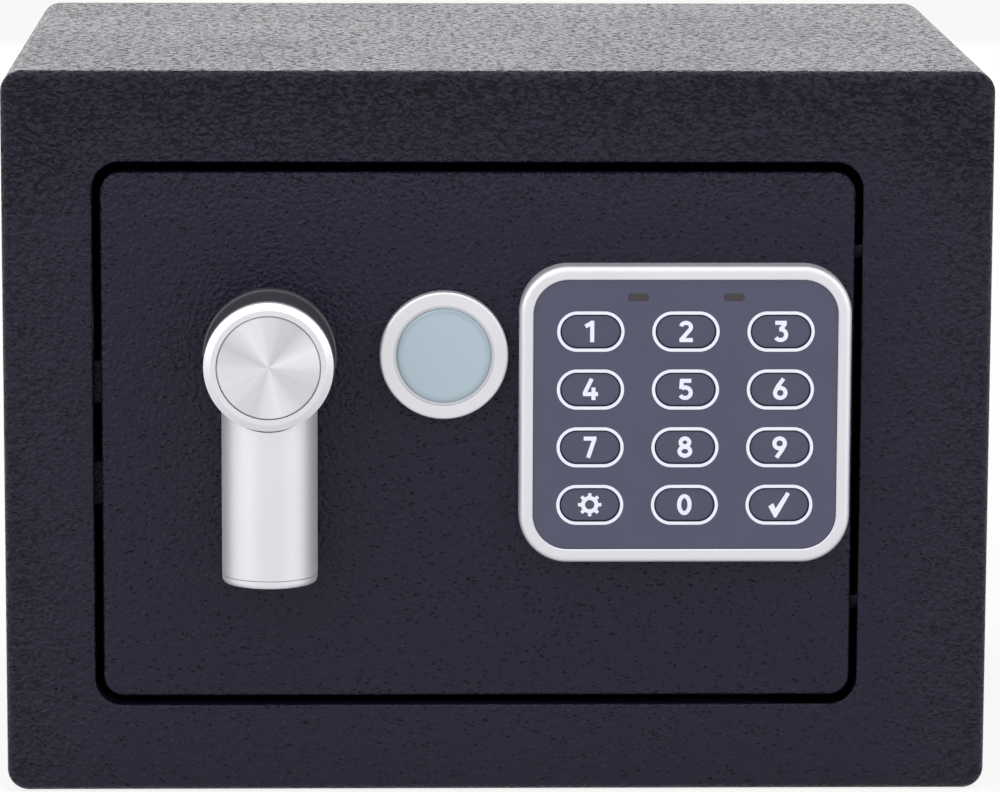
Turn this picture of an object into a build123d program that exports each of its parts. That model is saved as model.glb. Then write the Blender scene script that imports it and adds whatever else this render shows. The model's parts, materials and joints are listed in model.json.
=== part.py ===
from build123d import *
import math
import os

# Small electronic safe: a welded steel cabinet with a flush door, a keypad, a lever handle that throws
# two bolts, and a key override behind a round cap. Millimetres. The origin is the middle of the cabinet's
# base, +X is the viewer's right, -Y is the front and +Z is up. At rest the door is closed and unlocked.

# Cabinet
WIDTH = 230.0
DEPTH = 170.0
HEIGHT = 170.0
SHEET = 1.2
CORNER_R = 5.0
FACE_BEND_R = 2.2
LAP = 10.0
LAP_GAP = 0.05

# Door opening, measured from the cabinet's sides
MARGIN_LEFT = 20.9
MARGIN_RIGHT = 30.4
MARGIN_TOP = 21.1
MARGIN_BOTTOM = 20.6
OPENING_R = 6.5
FLANGE_DEPTH = 6.0
FLANGE_STOP_RIGHT = 20.0

# Door
DOOR_GAP_LEFT = 1.9
DOOR_GAP_RIGHT = 1.7
DOOR_GAP_TOP = 2.4
DOOR_GAP_BOTTOM = 2.1
DOOR_SHEET = 3.0
DOOR_RECESS = 0.5
DOOR_EDGE_R = 0.9

# Anchor holes
ANCHOR_R = 5.0
ANCHOR_SPACING = 120.0
ANCHOR_REAR_Z = 85.0

# Floor liner
LINER_PAD = 2.5
LINER_PAD_GAP = 1.0

# Hinges
HINGE_EDGE = 8.5
HINGE_SET_BACK = 5.2
HINGE_INSET = 20.0
PIN_R = 2.0
PIN_CLEARANCE = 0.05
ARM_THICK = 3.0
ARM_INNER_R = 10.6
ARM_WIDTH = 3.4
ARM_BOSS_R = 3.4
ARM_FOOT = 18.0
ARM_FOOT_H = 14.0
ARM_FOOT_SHEET = 2.2
EAR_THICK = 2.0
EAR_GAP = 0.3
PIN_HEAD_R = 3.2
PIN_HEAD_H = 1.2

# Bolts and the carrier that moves them
BOLT_R = 6.0
BOLT_THROW = 14.0
BOLT_SPREAD = 70.0
BOLT_TIP_INSIDE = 2.0
BOLT_CLEARANCE = 0.06
STRIKE_CLEARANCE = 0.5
STRIKE_STEP = 2.4
BOLT_TIP_R = 1.5
CARRIER_SHEET = 2.0
CARRIER_GAP = 0.9
CARRIER_WEB = 9.05
CARRIER_MARGIN = 8.0
TENON_R = 3.0
TENON_HEAD = 0.8
GUIDE_SHEET = 2.5
STUD_R = 2.5
STUD_HEAD_R = 4.5
STUD_CLEARANCE = 0.1
STUD_SPREAD = 40.0

# Handle
HANDLE_IN = 39.2
HANDLE_UP = 19.4
COLLAR_R = 15.6
COLLAR_H = 3.0
HUB_R = 15.1
HUB_GAP = 0.3
HUB_H = 14.2
RIM_R = 14.9
RIM_H = 3.4
RIM_BEVEL = 1.6
DISC_R = 11.95
DISC_GAP = 0.12
DISC_SUNK = 0.25
DISC_THICK = 1.4
LEVER_R = 11.1
LEVER_REACH = 52.0
LEVER_AXIS_OUT = 8.4
LEVER_BACK_OUT = 3.4
LEVER_CAP_H = 2.0
LEVER_CAP_R = 1.1
LEVER_CAP_SEAM = 0.15
LEVER_SEAT_GAP = 0.1
SPINDLE_R = 4.0
SPINDLE_CLEARANCE = 0.05
BUSH_R = 7.0
BUSH_LIP_R = 9.5
BUSH_LIP = 1.0
CRANK_WALL = 0.6
CRANK_SHEET = 3.0
CRANK_PIN_R = 2.5
CRANK_SLOT_PLAY = 0.45
HANDLE_TURN = 90.0

# Solenoid that blocks the carrier
SOLENOID_W = 16.0
SOLENOID_D = 12.0
SOLENOID_H = 22.0
SOLENOID_SHEET = 1.2
PLUNGER_R = 2.5
PLUNGER_CLEARANCE = 0.15
PLUNGER_TRAVEL = 5.0
PLUNGER_FREE = 7.5
PLUNGER_REST_GAP = 0.5
NOTCH_PLAY = 0.6
RAIL_DOWN = 6.6
RAIL_H = 10.0
RAIL_WEB = 1.5
TAB_W = 6.0
TAB_SHEET = 1.6
SPRING_WIRE_R = 0.3
SPRING_R = 3.6
SPRING_TURNS = 3

# Key override behind the badge
LOCK_STEP = 40.4
LOCK_R = 9.0
LOCK_COLLAR_R = 12.6
LOCK_COLLAR_H = 1.6
LOCK_GAP = 0.1
PLUG_R = 6.0
PLUG_CLEARANCE = 0.05
KEYWAY_W = 1.6
KEYWAY_H = 8.0
KEYWAY_DEEP = 10.0
LOCK_NUT_R = 12.0
LOCK_NUT_H = 3.0
CAM_REACH = 16.0
CAM_HALF_W = 4.0
CAM_SHEET = 2.0
CAM_RUN_GAP = 0.5
BADGE_R = 14.95
BADGE_H = 3.0
BADGE_WALL = 1.6
BADGE_GROOVE_R = 11.75
BADGE_LABEL_R = 11.1
BADGE_LABEL_H = 1.0
BADGE_POCKET = 0.7
BADGE_EDGE_R = 0.7
BADGE_FIT = 0.25

# Keypad
PAD_IN = 39.5
PAD_UP = 5.9
PAD_W = 77.1
PAD_H = 69.8
PAD_R = 11.4
PAD_RING = 3.2
PAD_OUT = 6.0
PAD_EDGE_R = 1.6
PAD_WALL_GAP = 0.1
PANEL_SUNK = 0.4
PANEL_THICK = 1.2
PAD_BASE_THICK = 0.9
BOARD_THICK = 1.6
KEY_W = 14.0
KEY_H = 7.85
KEY_PITCH_X = 22.05
KEY_PITCH_Z = 13.6
KEY_FIRST_UP = 19.6
KEY_GAP = 0.15
KEY_SUNK = 0.25
KEY_FLANGE = 0.7
KEY_FLANGE_THICK = 0.8
KEY_FLANGE_GAP = 0.1
KEY_TRAVEL = 0.6
DOME_R = 2.4
DOME_H = 0.2
WINDOW_W = 4.9
WINDOW_H = 1.8
WINDOW_SPREAD = 22.2
WINDOW_UP = 27.6
LED_R = 0.8
CABLE_HOLE_R = 5.0
CABLE_RISE = 3.5

# Door liner with the batteries
LINER_LEFT = 6.2
LINER_RIGHT = 9.0
LINER_TOP = 5.0
LINER_BOTTOM = 5.0
LINER_DEPTH = 29.5
LINER_SHEET = 1.2
LINER_R = 3.0
LINER_HOLE_PLAY = 1.2
POST_IN = 4.4
LINER_POST_R = 3.0
CELL_R = 7.2
CELL_LEN = 50.4
CELL_GAP = 0.8
CELL_COUNT = 4
CELL_NUB_R = 2.7
CELL_NUB = 1.0
TRAY_IN = 11.3
TRAY_DROP = 51.2
TRAY_WALL = 1.2
TRAY_END_GAP = 2.2
TRAY_GAP = 0.3
LID_LAP = 3.0
LID_SHEET = 1.8
LID_RIM = 2.5
LID_GAP = 0.3
RESET_ACROSS = 19.0
RESET_UP = 7.0
RESET_R = 3.0
RESET_PLAY = 0.15
RESET_OUT = 2.0
RESET_TRAVEL = 1.5
RESET_SHANK = 6.0
BOARD_IN = 12.9
BOARD_UP = 6.4
BOARD_W = 56.0
BOARD_H = 36.0
POST_R = 2.5
POST_H = 3.0
SOUNDER_R = 8.0
SOUNDER_H = 7.0
WIRE_R = 1.0
SCREW_R = 1.5
SCREW_HEAD_R = 3.0
SCREW_HEAD_H = 1.4

# Places worked out from the sizes above
FRONT = -DEPTH / 2
BACK = DEPTH / 2
OPEN_X0 = -WIDTH / 2 + MARGIN_LEFT
OPEN_X1 = WIDTH / 2 - MARGIN_RIGHT
OPEN_Z0 = MARGIN_BOTTOM
OPEN_Z1 = HEIGHT - MARGIN_TOP
DOOR_X0 = OPEN_X0 + DOOR_GAP_LEFT
DOOR_X1 = OPEN_X1 - DOOR_GAP_RIGHT
DOOR_Z0 = OPEN_Z0 + DOOR_GAP_BOTTOM
DOOR_Z1 = OPEN_Z1 - DOOR_GAP_TOP
DOOR_MID_Z = (DOOR_Z0 + DOOR_Z1) / 2
DOOR_FACE = FRONT + DOOR_RECESS
DOOR_BACK = DOOR_FACE + DOOR_SHEET
DOOR_R = OPENING_R - DOOR_GAP_RIGHT
HINGE_X = OPEN_X1 + HINGE_EDGE
HINGE_Y = FRONT + HINGE_SET_BACK
HINGE_ZS = (DOOR_Z0 + HINGE_INSET, DOOR_Z1 - HINGE_INSET)

LINER_X0 = DOOR_X0 + LINER_LEFT
LINER_X1 = DOOR_X1 - LINER_RIGHT
LINER_Z0 = DOOR_Z0 + LINER_BOTTOM
LINER_Z1 = DOOR_Z1 - LINER_TOP
LINER_BACK = DOOR_BACK + LINER_DEPTH

HANDLE_X = DOOR_X0 + HANDLE_IN
HANDLE_Z = DOOR_MID_Z + HANDLE_UP
LOCK_X = HANDLE_X + LOCK_STEP
SOLENOID_X = LOCK_X
PAD_X = DOOR_X1 - PAD_IN
PAD_Z = DOOR_MID_Z + PAD_UP
KEY_FIRST_Z = PAD_Z + KEY_FIRST_UP
WINDOW_Z = PAD_Z + WINDOW_UP

CRANK_Y = DOOR_BACK + BUSH_LIP + 0.8
CARRIER_Y = CRANK_Y + CRANK_SHEET + 1.2
BOLT_Y = CARRIER_Y + CARRIER_SHEET + TENON_R + 1.0
BOLT_TIP = OPEN_X0 + BOLT_TIP_INSIDE
BOLT_MID_Z = DOOR_MID_Z
BOLT_ZS = (BOLT_MID_Z - BOLT_SPREAD / 2, BOLT_MID_Z + BOLT_SPREAD / 2)
GUIDE_X = LINER_X0 + LINER_SHEET + 0.4
CARRIER_X0 = GUIDE_X + GUIDE_SHEET + BOLT_THROW + CARRIER_GAP
CARRIER_X1 = HANDLE_X + BOLT_THROW / 2 + CRANK_PIN_R + CRANK_SLOT_PLAY + CARRIER_WEB
RAIL_Z = BOLT_MID_Z - RAIL_DOWN
RAIL_END = SOLENOID_X + BOLT_THROW + PLUNGER_R + NOTCH_PLAY + RAIL_WEB
CARRIER_MID_Y = CARRIER_Y + CARRIER_SHEET / 2
CRANK_PIN_AT = BOLT_THROW / (2 * math.sin(math.radians(HANDLE_TURN / 2)))
CRANK_R = CRANK_PIN_AT + CRANK_PIN_R + CRANK_WALL
STUD_ZS = (BOLT_MID_Z - STUD_SPREAD / 2 - CRANK_R, HANDLE_Z + CRANK_R + STUD_R + 3.0)
STUD_X = HANDLE_X

PLUNGER_TOP = RAIL_Z - PLUNGER_REST_GAP
SOLENOID_TOP = PLUNGER_TOP - PLUNGER_FREE
CELL_PITCH = 2 * CELL_R + CELL_GAP
TRAY_W = CELL_COUNT * CELL_PITCH + 2 * TRAY_WALL
TRAY_H = CELL_LEN + 2 * TRAY_END_GAP + 2 * TRAY_WALL
TRAY_X = LINER_X1 - TRAY_IN - TRAY_W / 2
TRAY_Z = DOOR_MID_Z - TRAY_DROP + TRAY_H / 2
TRAY_BACK = LINER_BACK - LINER_SHEET - TRAY_GAP
CELL_Y = TRAY_BACK - CELL_R - 0.6
TRAY_FLOOR = CELL_Y - CELL_R - TRAY_GAP - TRAY_WALL
BOARD_X = LINER_X1 - BOARD_IN - BOARD_W / 2
BOARD_Z = TRAY_Z + TRAY_H / 2 + BOARD_UP + BOARD_H / 2
BOARD_Y = DOOR_BACK + POST_H
RESET_X = BOARD_X + RESET_ACROSS
RESET_Z = BOARD_Z + RESET_UP
PANEL_FACE = DOOR_FACE - PAD_OUT + PANEL_SUNK
PANEL_BACK = PANEL_FACE + PANEL_THICK
PAD_BOARD_BACK = DOOR_FACE - PAD_BASE_THICK
PAD_BOARD_FACE = PAD_BOARD_BACK - BOARD_THICK
KEYS = (
    ("key_1", 0, 0), ("key_2", 1, 0), ("key_3", 2, 0),
    ("key_4", 0, 1), ("key_5", 1, 1), ("key_6", 2, 1),
    ("key_7", 0, 2), ("key_8", 1, 2), ("key_9", 2, 2),
    ("key_settings", 0, 3), ("key_0", 1, 3), ("key_enter", 2, 3),
)
MADE = {}


def block(x0, x1, y0, y1, z0, z1):
    """A box between two corners."""
    size = (x1 - x0, y1 - y0, z1 - z0)
    return Pos((x0 + x1) / 2, (y0 + y1) / 2, (z0 + z1) / 2) * Box(*size)


def rod_x(y, z, r, x0, x1):
    """A cylinder along X."""
    return Pos((x0 + x1) / 2, y, z) * Rot(0, 90, 0) * Cylinder(r, x1 - x0)


def rod_y(x, z, r, y0, y1):
    """A cylinder along Y."""
    return Pos(x, (y0 + y1) / 2, z) * Rot(90, 0, 0) * Cylinder(r, y1 - y0)


def rod_z(x, y, r, z0, z1):
    """A cylinder along Z."""
    return Pos(x, y, (z0 + z1) / 2) * Cylinder(r, z1 - z0)


def slab(x0, x1, z0, z1, r, y0, y1):
    """A plate square to Y with rounded corners."""
    outline = RectangleRounded(x1 - x0, z1 - z0, r)
    face = Pos((x0 + x1) / 2, y1, (z0 + z1) / 2) * (Plane.XZ * outline)
    return extrude(face, amount=y1 - y0)


def stadium(x, z, w, h, y0, y1):
    """A plate square to Y with half-round ends."""
    face = Pos(x, y1, z) * (Plane.XZ * SlotOverall(w, h))
    return extrude(face, amount=y1 - y0)


def edges_at(shape, axis, place, tolerance=0.01):
    """The edges that lie wholly at one place along an axis."""
    return shape.edges().filter_by_position(axis, place - tolerance, place + tolerance)


def keep(name, shape):
    """Stores a finished piece under its node name."""
    MADE[name] = shape


def solid_of(shapes):
    """Fuses a list of overlapping shapes into one."""
    whole = shapes[0]
    for shape in shapes[1:]:
        whole = whole + shape
    return whole


# Cabinet

def face_pan(face, direction):
    """A sheet face with a bent edge and a skirt that laps inside the wrap. Direction points inwards."""
    inner = face + direction * FACE_BEND_R
    outside = slab(-WIDTH / 2, WIDTH / 2, 0, HEIGHT, CORNER_R, min(face, inner), max(face, inner))
    outside = fillet(edges_at(outside, Axis.Y, face), FACE_BEND_R - 0.01)
    step = SHEET + LAP_GAP
    lap_end = inner + direction * LAP
    skirt = slab(-WIDTH / 2 + step, WIDTH / 2 - step, step, HEIGHT - step, CORNER_R - step,
                 min(inner, lap_end), max(inner, lap_end))
    hollow_from = face + direction * SHEET
    inset = step + SHEET
    hollow = slab(-WIDTH / 2 + inset, WIDTH / 2 - inset, inset, HEIGHT - inset, CORNER_R - inset,
                  min(hollow_from, lap_end), max(hollow_from, lap_end))
    return outside + skirt - hollow


def cabinet_wrap():
    """The folded top, sides and base, with the anchor holes in the base."""
    y0, y1 = FRONT + FACE_BEND_R, BACK - FACE_BEND_R
    wrap = slab(-WIDTH / 2, WIDTH / 2, 0, HEIGHT, CORNER_R, y0, y1)
    wrap -= slab(-WIDTH / 2 + SHEET, WIDTH / 2 - SHEET, SHEET, HEIGHT - SHEET, CORNER_R - SHEET, y0, y1)
    for x in (-ANCHOR_SPACING / 2, ANCHOR_SPACING / 2):
        wrap -= rod_z(x, 0, ANCHOR_R, -1, SHEET + 1)
    keep("cabinet_wrap", wrap)


def front_frame():
    """The front face with the door opening, its folded flange and the two stops behind the door's edge."""
    frame = face_pan(FRONT, 1)
    flange_end = FRONT + FLANGE_DEPTH
    grow = SHEET
    flange = slab(OPEN_X0 - grow, OPEN_X1 + grow, OPEN_Z0 - grow, OPEN_Z1 + grow, OPENING_R + grow,
                  FRONT + SHEET / 2, flange_end)
    cut_x = OPEN_X1 - FLANGE_STOP_RIGHT
    flange -= block(cut_x, WIDTH, FRONT + SHEET, flange_end + 1, 0, HEIGHT)
    frame += flange
    frame -= slab(OPEN_X0, OPEN_X1, OPEN_Z0, OPEN_Z1, OPENING_R, FRONT - 1, flange_end + 1)
    rim = edges_at(frame, Axis.Y, FRONT).filter_by(
        lambda e: abs(e.center().X - (OPEN_X0 + OPEN_X1) / 2) < (OPEN_X1 - OPEN_X0) / 2 + 0.1
        and OPEN_Z0 - 0.1 < e.center().Z < OPEN_Z1 + 0.1
    )
    frame = fillet(rim, 0.5)
    keep("front_frame", frame)


def back_panel():
    """The back face, lapped into the wrap like the front, with the rear anchor holes."""
    panel = face_pan(BACK, -1)
    for x in (-ANCHOR_SPACING / 2, ANCHOR_SPACING / 2):
        panel -= rod_y(x, ANCHOR_REAR_Z, ANCHOR_R, BACK - SHEET - 1, BACK + 1)
    keep("back_panel", panel)


def strike_channel():
    """The angle behind the frame's left margin that takes the bolts, with two door stops."""
    plate_x = OPEN_X0 - STRIKE_STEP - SHEET
    deep = BOLT_Y + BOLT_R + STRIKE_CLEARANCE + 4.0
    z0, z1 = OPEN_Z0 + OPENING_R, OPEN_Z1 - OPENING_R
    plate = block(plate_x, plate_x + SHEET, FRONT + SHEET, deep, z0, z1)
    back = block(-WIDTH / 2 + SHEET, plate_x + SHEET, deep - SHEET, deep, z0, z1)
    channel = plate + back
    half = BOLT_R + STRIKE_CLEARANCE
    for z in BOLT_ZS:
        channel -= block(plate_x - 1, plate_x + SHEET + 1, BOLT_Y - half, BOLT_Y + half, z - half, z + half)
    stop_y = DOOR_BACK + 0.2
    for z in (BOLT_MID_Z - 12, BOLT_MID_Z + 12):
        clear = FRONT + FLANGE_DEPTH + 0.2
        hook = block(plate_x + SHEET, OPEN_X0 + DOOR_GAP_LEFT + 1.8, clear, clear + SHEET, z - 5, z + 5)
        channel += hook
        tip_x = OPEN_X0 + DOOR_GAP_LEFT
        channel += block(tip_x + 0.3, tip_x + 1.8, stop_y, clear + SHEET, z - 5, z + 5)
    keep("strike_channel", channel)


def floor_liner():
    """The felt pad on the cabinet's floor, with holes over the anchors."""
    side = WIDTH / 2 - 2 * SHEET - LAP_GAP - LINER_PAD_GAP
    y0 = FRONT + FACE_BEND_R + LAP + LINER_PAD_GAP
    y1 = BACK - FACE_BEND_R - LAP - LINER_PAD_GAP
    side -= CORNER_R
    pad = block(-side, side, y0, y1, SHEET, SHEET + LINER_PAD)
    pad = fillet(pad.edges().filter_by(Axis.Z), 4.0)
    for x in (-ANCHOR_SPACING / 2, ANCHOR_SPACING / 2):
        pad -= rod_z(x, 0, ANCHOR_R + 1.5, 0, 10)
    keep("floor_liner", pad)


# Hinges

def sector(r, start, end, steps=6):
    """A pie slice outline in the XY plane, wide enough to cut a ring of radius r."""
    far = 2.5 * r
    turns = [start + (end - start) * k / steps for k in range(steps + 1)]
    rim = [(far * math.cos(math.radians(t)), far * math.sin(math.radians(t))) for t in turns]
    return make_face(Polyline((0, 0), *rim, (0, 0)))


def hinge_arm(z):
    """The gooseneck on the door: it reaches round the frame's edge from the door's back to the pin."""
    outer = ARM_INNER_R + ARM_WIDTH
    door_back = DOOR_BACK - HINGE_Y
    ring = (Circle(outer) - Circle(ARM_INNER_R)) & sector(outer, 76, 200)
    root = Pos(1.1, outer / 2) * Rectangle(4.6, outer)
    flat = ring + (root & Circle(outer)) + Circle(ARM_BOSS_R)
    flat -= Pos(0, door_back - 20) * Rectangle(24 + 2 * outer, 40) & Pos(-outer, 0) * Rectangle(
        2 * (outer - ARM_BOSS_R - 1), 80)
    flat -= Circle(PIN_R + PIN_CLEARANCE)
    plate = Pos(HINGE_X, HINGE_Y, z - ARM_THICK / 2) * extrude(flat, amount=ARM_THICK)
    foot_x1 = HINGE_X - ARM_INNER_R - 0.8
    foot = block(foot_x1 - ARM_FOOT, foot_x1, DOOR_BACK, DOOR_BACK + ARM_FOOT_SHEET,
                 z - ARM_FOOT_H / 2, z + ARM_FOOT_H / 2)
    return plate + foot


def hinge_bracket(z):
    """The two ears on the cabinet's side wall that hold the pin."""
    wall = WIDTH / 2 - 2 * SHEET - LAP_GAP
    half = ARM_THICK / 2 + EAR_GAP
    y0 = HINGE_Y - ARM_BOSS_R
    y1 = FRONT + FACE_BEND_R + LAP - 0.5
    bracket = block(wall - EAR_THICK, wall, y0, y1, z - half - EAR_THICK, z + half + EAR_THICK)
    for z0 in (z - half - EAR_THICK, z + half):
        ear = block(HINGE_X, wall, y0, HINGE_Y + ARM_BOSS_R, z0, z0 + EAR_THICK)
        ear += rod_z(HINGE_X, HINGE_Y, ARM_BOSS_R, z0, z0 + EAR_THICK)
        ear -= rod_z(HINGE_X, HINGE_Y, PIN_R + 0.01, z0 - 1, z0 + EAR_THICK + 1)
        bracket += ear
    return bracket


def hinge_pin(z):
    """A headed pin through the ears and the arm."""
    half = ARM_THICK / 2 + EAR_GAP + EAR_THICK
    pin = rod_z(HINGE_X, HINGE_Y, PIN_R, z - half - 1.0, z + half)
    pin += rod_z(HINGE_X, HINGE_Y, PIN_HEAD_R, z + half, z + half + PIN_HEAD_H)
    return pin


def hinges():
    """The two hinges, each an arm, a bracket and a pin."""
    keep("hinge_arms", Compound(children=[hinge_arm(z) for z in HINGE_ZS]))
    keep("hinge_brackets", Compound(children=[hinge_bracket(z) for z in HINGE_ZS]))
    keep("hinge_pins", Compound(children=[hinge_pin(z) for z in HINGE_ZS]))


# Door

def door_plate():
    """The flat steel door with holes for the spindle bush, the lock, the keypad lead and the screws."""
    plate = slab(DOOR_X0, DOOR_X1, DOOR_Z0, DOOR_Z1, DOOR_R, DOOR_FACE, DOOR_BACK)
    plate = fillet(edges_at(plate, Axis.Y, DOOR_FACE), DOOR_EDGE_R)
    y0, y1 = DOOR_FACE - 1, DOOR_BACK + 1
    plate -= rod_y(HANDLE_X, HANDLE_Z, BUSH_R + 0.02, y0, y1)
    plate -= rod_y(LOCK_X, HANDLE_Z, LOCK_R + LOCK_GAP, y0, y1)
    plate -= rod_y(PAD_X, PAD_Z + CABLE_RISE, CABLE_HOLE_R, y0, y1)
    keep("door_plate", plate)


def door_liner():
    """The folded cover over the lock work, open towards the door."""
    tray_x0, tray_x1 = TRAY_X - TRAY_W / 2, TRAY_X + TRAY_W / 2
    tray_z0, tray_z1 = TRAY_Z - TRAY_H / 2, TRAY_Z + TRAY_H / 2
    cover = slab(LINER_X0, LINER_X1, LINER_Z0, LINER_Z1, LINER_R, DOOR_BACK, LINER_BACK)
    cover = fillet(edges_at(cover, Axis.Y, LINER_BACK), LINER_R - 0.5)
    cover -= slab(LINER_X0 + LINER_SHEET, LINER_X1 - LINER_SHEET, LINER_Z0 + LINER_SHEET,
                  LINER_Z1 - LINER_SHEET, LINER_R - LINER_SHEET, DOOR_BACK, LINER_BACK - LINER_SHEET)
    for z in BOLT_ZS:
        cover -= rod_x(BOLT_Y, z, BOLT_R + LINER_HOLE_PLAY, LINER_X0 - 1, LINER_X0 + 4)
    cover -= block(tray_x0, tray_x1, LINER_BACK - 2 * LINER_SHEET, LINER_BACK + 1, tray_z0, tray_z1)
    cover -= rod_y(RESET_X, RESET_Z, RESET_R + RESET_PLAY, LINER_BACK - 5, LINER_BACK + 1)
    for z in HINGE_ZS:
        reach = HINGE_X - ARM_INNER_R - ARM_FOOT - 3
        cover -= block(reach, LINER_X1 + 1, DOOR_BACK, DOOR_BACK + ARM_FOOT_SHEET + 1,
                       z - ARM_FOOT_H / 2 - 0.5, z + ARM_FOOT_H / 2 + 0.5)
    for x, z in liner_screw_places():
        cover -= rod_y(x, z, SCREW_R + 0.1, LINER_BACK - 5, LINER_BACK + 1)
    keep("door_liner", cover)


def liner_screw_places():
    """Where the liner's four screws go in."""
    side, end = POST_IN + 0.2, POST_IN
    return [(x, z) for x in (LINER_X0 + side, LINER_X1 - side) for z in (LINER_Z0 + end, LINER_Z1 - end)]


def door_studs():
    """All the studs welded to the door's back, and the four screws in the liner."""
    posts, screws = guide_studs(), []
    for x in (BOARD_X - BOARD_W / 2 + 3, BOARD_X + BOARD_W / 2 - 3):
        for z in (BOARD_Z - BOARD_H / 2 + 3, BOARD_Z + BOARD_H / 2 - 3):
            posts.append(rod_y(x, z, POST_R, DOOR_BACK, BOARD_Y))
    for x, z in liner_screw_places():
        post = rod_y(x, z, LINER_POST_R, DOOR_BACK, LINER_BACK - LINER_SHEET)
        posts.append(post - rod_y(x, z, SCREW_R, LINER_BACK - 12, LINER_BACK))
        screw = rod_y(x, z, SCREW_R - 0.02, LINER_BACK - 11, LINER_BACK + 0.2)
        head = rod_y(x, z, SCREW_HEAD_R, LINER_BACK, LINER_BACK + SCREW_HEAD_H)
        head = fillet(edges_at(head, Axis.Y, LINER_BACK + SCREW_HEAD_H), 0.6)
        cross = block(x - 1.6, x + 1.6, LINER_BACK + 0.6, LINER_BACK + 2, z - 0.3, z + 0.3)
        cross += block(x - 0.3, x + 0.3, LINER_BACK + 0.6, LINER_BACK + 2, z - 1.6, z + 1.6)
        screws.append(screw + head - cross)
    keep("door_studs", Compound(children=posts))
    keep("liner_screws", Compound(children=screws))


def bolt_guide():
    """The angle on the door's back that the bolts run through."""
    x0 = GUIDE_X
    z0, z1 = BOLT_ZS[0] - BOLT_R - 5, BOLT_ZS[1] + BOLT_R + 5
    guide = block(x0, x0 + GUIDE_SHEET, DOOR_BACK, BOLT_Y + BOLT_R + 2, z0, z1)
    for a, b in ((z0, BOLT_ZS[0] - BOLT_R + 1), (BOLT_ZS[1] + BOLT_R - 1, z1)):
        guide += block(x0, x0 + 12, DOOR_BACK, DOOR_BACK + GUIDE_SHEET, a, b)
    for z in BOLT_ZS:
        guide -= rod_x(BOLT_Y, z, BOLT_R + BOLT_CLEARANCE, x0 - 1, x0 + GUIDE_SHEET + 1)
    keep("bolt_guide", guide)


def carrier_slot(x_start, z, r, play):
    """A slot through the carrier for a fixed stud, as long as the throw."""
    half = r + play
    cut = block(x_start, x_start + BOLT_THROW, CARRIER_Y - 1, CARRIER_Y + CARRIER_SHEET + 1,
                z - half, z + half)
    cut += rod_y(x_start, z, half, CARRIER_Y - 1, CARRIER_Y + CARRIER_SHEET + 1)
    cut += rod_y(x_start + BOLT_THROW, z, half, CARRIER_Y - 1, CARRIER_Y + CARRIER_SHEET + 1)
    return cut


def bolt_carrier():
    """The sliding plate with a bent end for the bolts, a slot for the crank pin and a notched rail."""
    z0, z1 = BOLT_ZS[0] - CARRIER_MARGIN, BOLT_ZS[1] + CARRIER_MARGIN
    y0, y1 = CARRIER_Y, CARRIER_Y + CARRIER_SHEET
    plate = block(CARRIER_X0, CARRIER_X1, y0, y1, z0, z1)
    plate += block(CARRIER_X0, CARRIER_X0 + CARRIER_SHEET, y0, BOLT_Y + BOLT_R + 1, z0, z1)
    plate += block(CARRIER_X1, RAIL_END, y0, y1, RAIL_Z, RAIL_Z + RAIL_H)
    for z in STUD_ZS:
        plate -= carrier_slot(STUD_X, z, STUD_R, STUD_CLEARANCE)
    half = CRANK_PIN_R + CRANK_SLOT_PLAY
    lean = CRANK_PIN_AT * math.sin(math.radians(HANDLE_TURN / 2))
    slot_x = HANDLE_X + lean
    top = HANDLE_Z - CRANK_PIN_AT * math.cos(math.radians(HANDLE_TURN / 2)) + CRANK_PIN_R + 1
    low = HANDLE_Z - CRANK_PIN_AT - CRANK_PIN_R - 1
    plate -= block(slot_x - half, slot_x + half, y0 - 1, y1 + 1, low, top)
    for step in (0, BOLT_THROW):
        notch = PLUNGER_R + NOTCH_PLAY
        x = SOLENOID_X + step
        plate -= block(x - notch, x + notch, y0 - 1, y1 + 1, RAIL_Z - 1,
                       RAIL_Z + PLUNGER_TRAVEL + NOTCH_PLAY)
    for z in BOLT_ZS:
        plate -= rod_x(BOLT_Y, z, TENON_R, CARRIER_X0 - 1, CARRIER_X0 + CARRIER_SHEET + 1)
    keep("bolt_carrier", plate)


def locking_bolt(name, z):
    """A round bolt with a rounded tip and a turned tenon riveted into the carrier."""
    bolt = rod_x(BOLT_Y, z, BOLT_R, BOLT_TIP, CARRIER_X0)
    bolt = fillet(edges_at(bolt, Axis.X, BOLT_TIP), BOLT_TIP_R)
    bolt += rod_x(BOLT_Y, z, TENON_R, CARRIER_X0, CARRIER_X0 + CARRIER_SHEET)
    head_x = CARRIER_X0 + CARRIER_SHEET
    bolt += rod_x(BOLT_Y, z, TENON_R + TENON_HEAD, head_x, head_x + 1.0)
    keep(name, bolt)


def guide_studs():
    """The two headed studs on the door that keep the carrier straight."""
    studs = []
    for z in STUD_ZS:
        stud = rod_y(STUD_X, z, STUD_R + 1.5, DOOR_BACK, CARRIER_Y - 0.2)
        stud += rod_y(STUD_X, z, STUD_R, CARRIER_Y - 0.3, CARRIER_Y + CARRIER_SHEET + 0.3)
        head_y = CARRIER_Y + CARRIER_SHEET + 0.2
        stud += rod_y(STUD_X, z, STUD_HEAD_R, head_y, head_y + 1.6)
        studs.append(stud)
    return studs


# Handle

def handle_collar():
    """The fixed black ring where the handle meets the door."""
    collar = rod_y(HANDLE_X, HANDLE_Z, COLLAR_R, DOOR_FACE - COLLAR_H, DOOR_FACE)
    collar -= rod_y(HANDLE_X, HANDLE_Z, BUSH_LIP_R + 0.3, DOOR_FACE - COLLAR_H - 1, DOOR_FACE + 1)
    collar = fillet(edges_at(collar, Axis.Y, DOOR_FACE - COLLAR_H).sort_by(Edge.length)[-1], 0.5)
    keep("handle_collar", collar)


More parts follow.
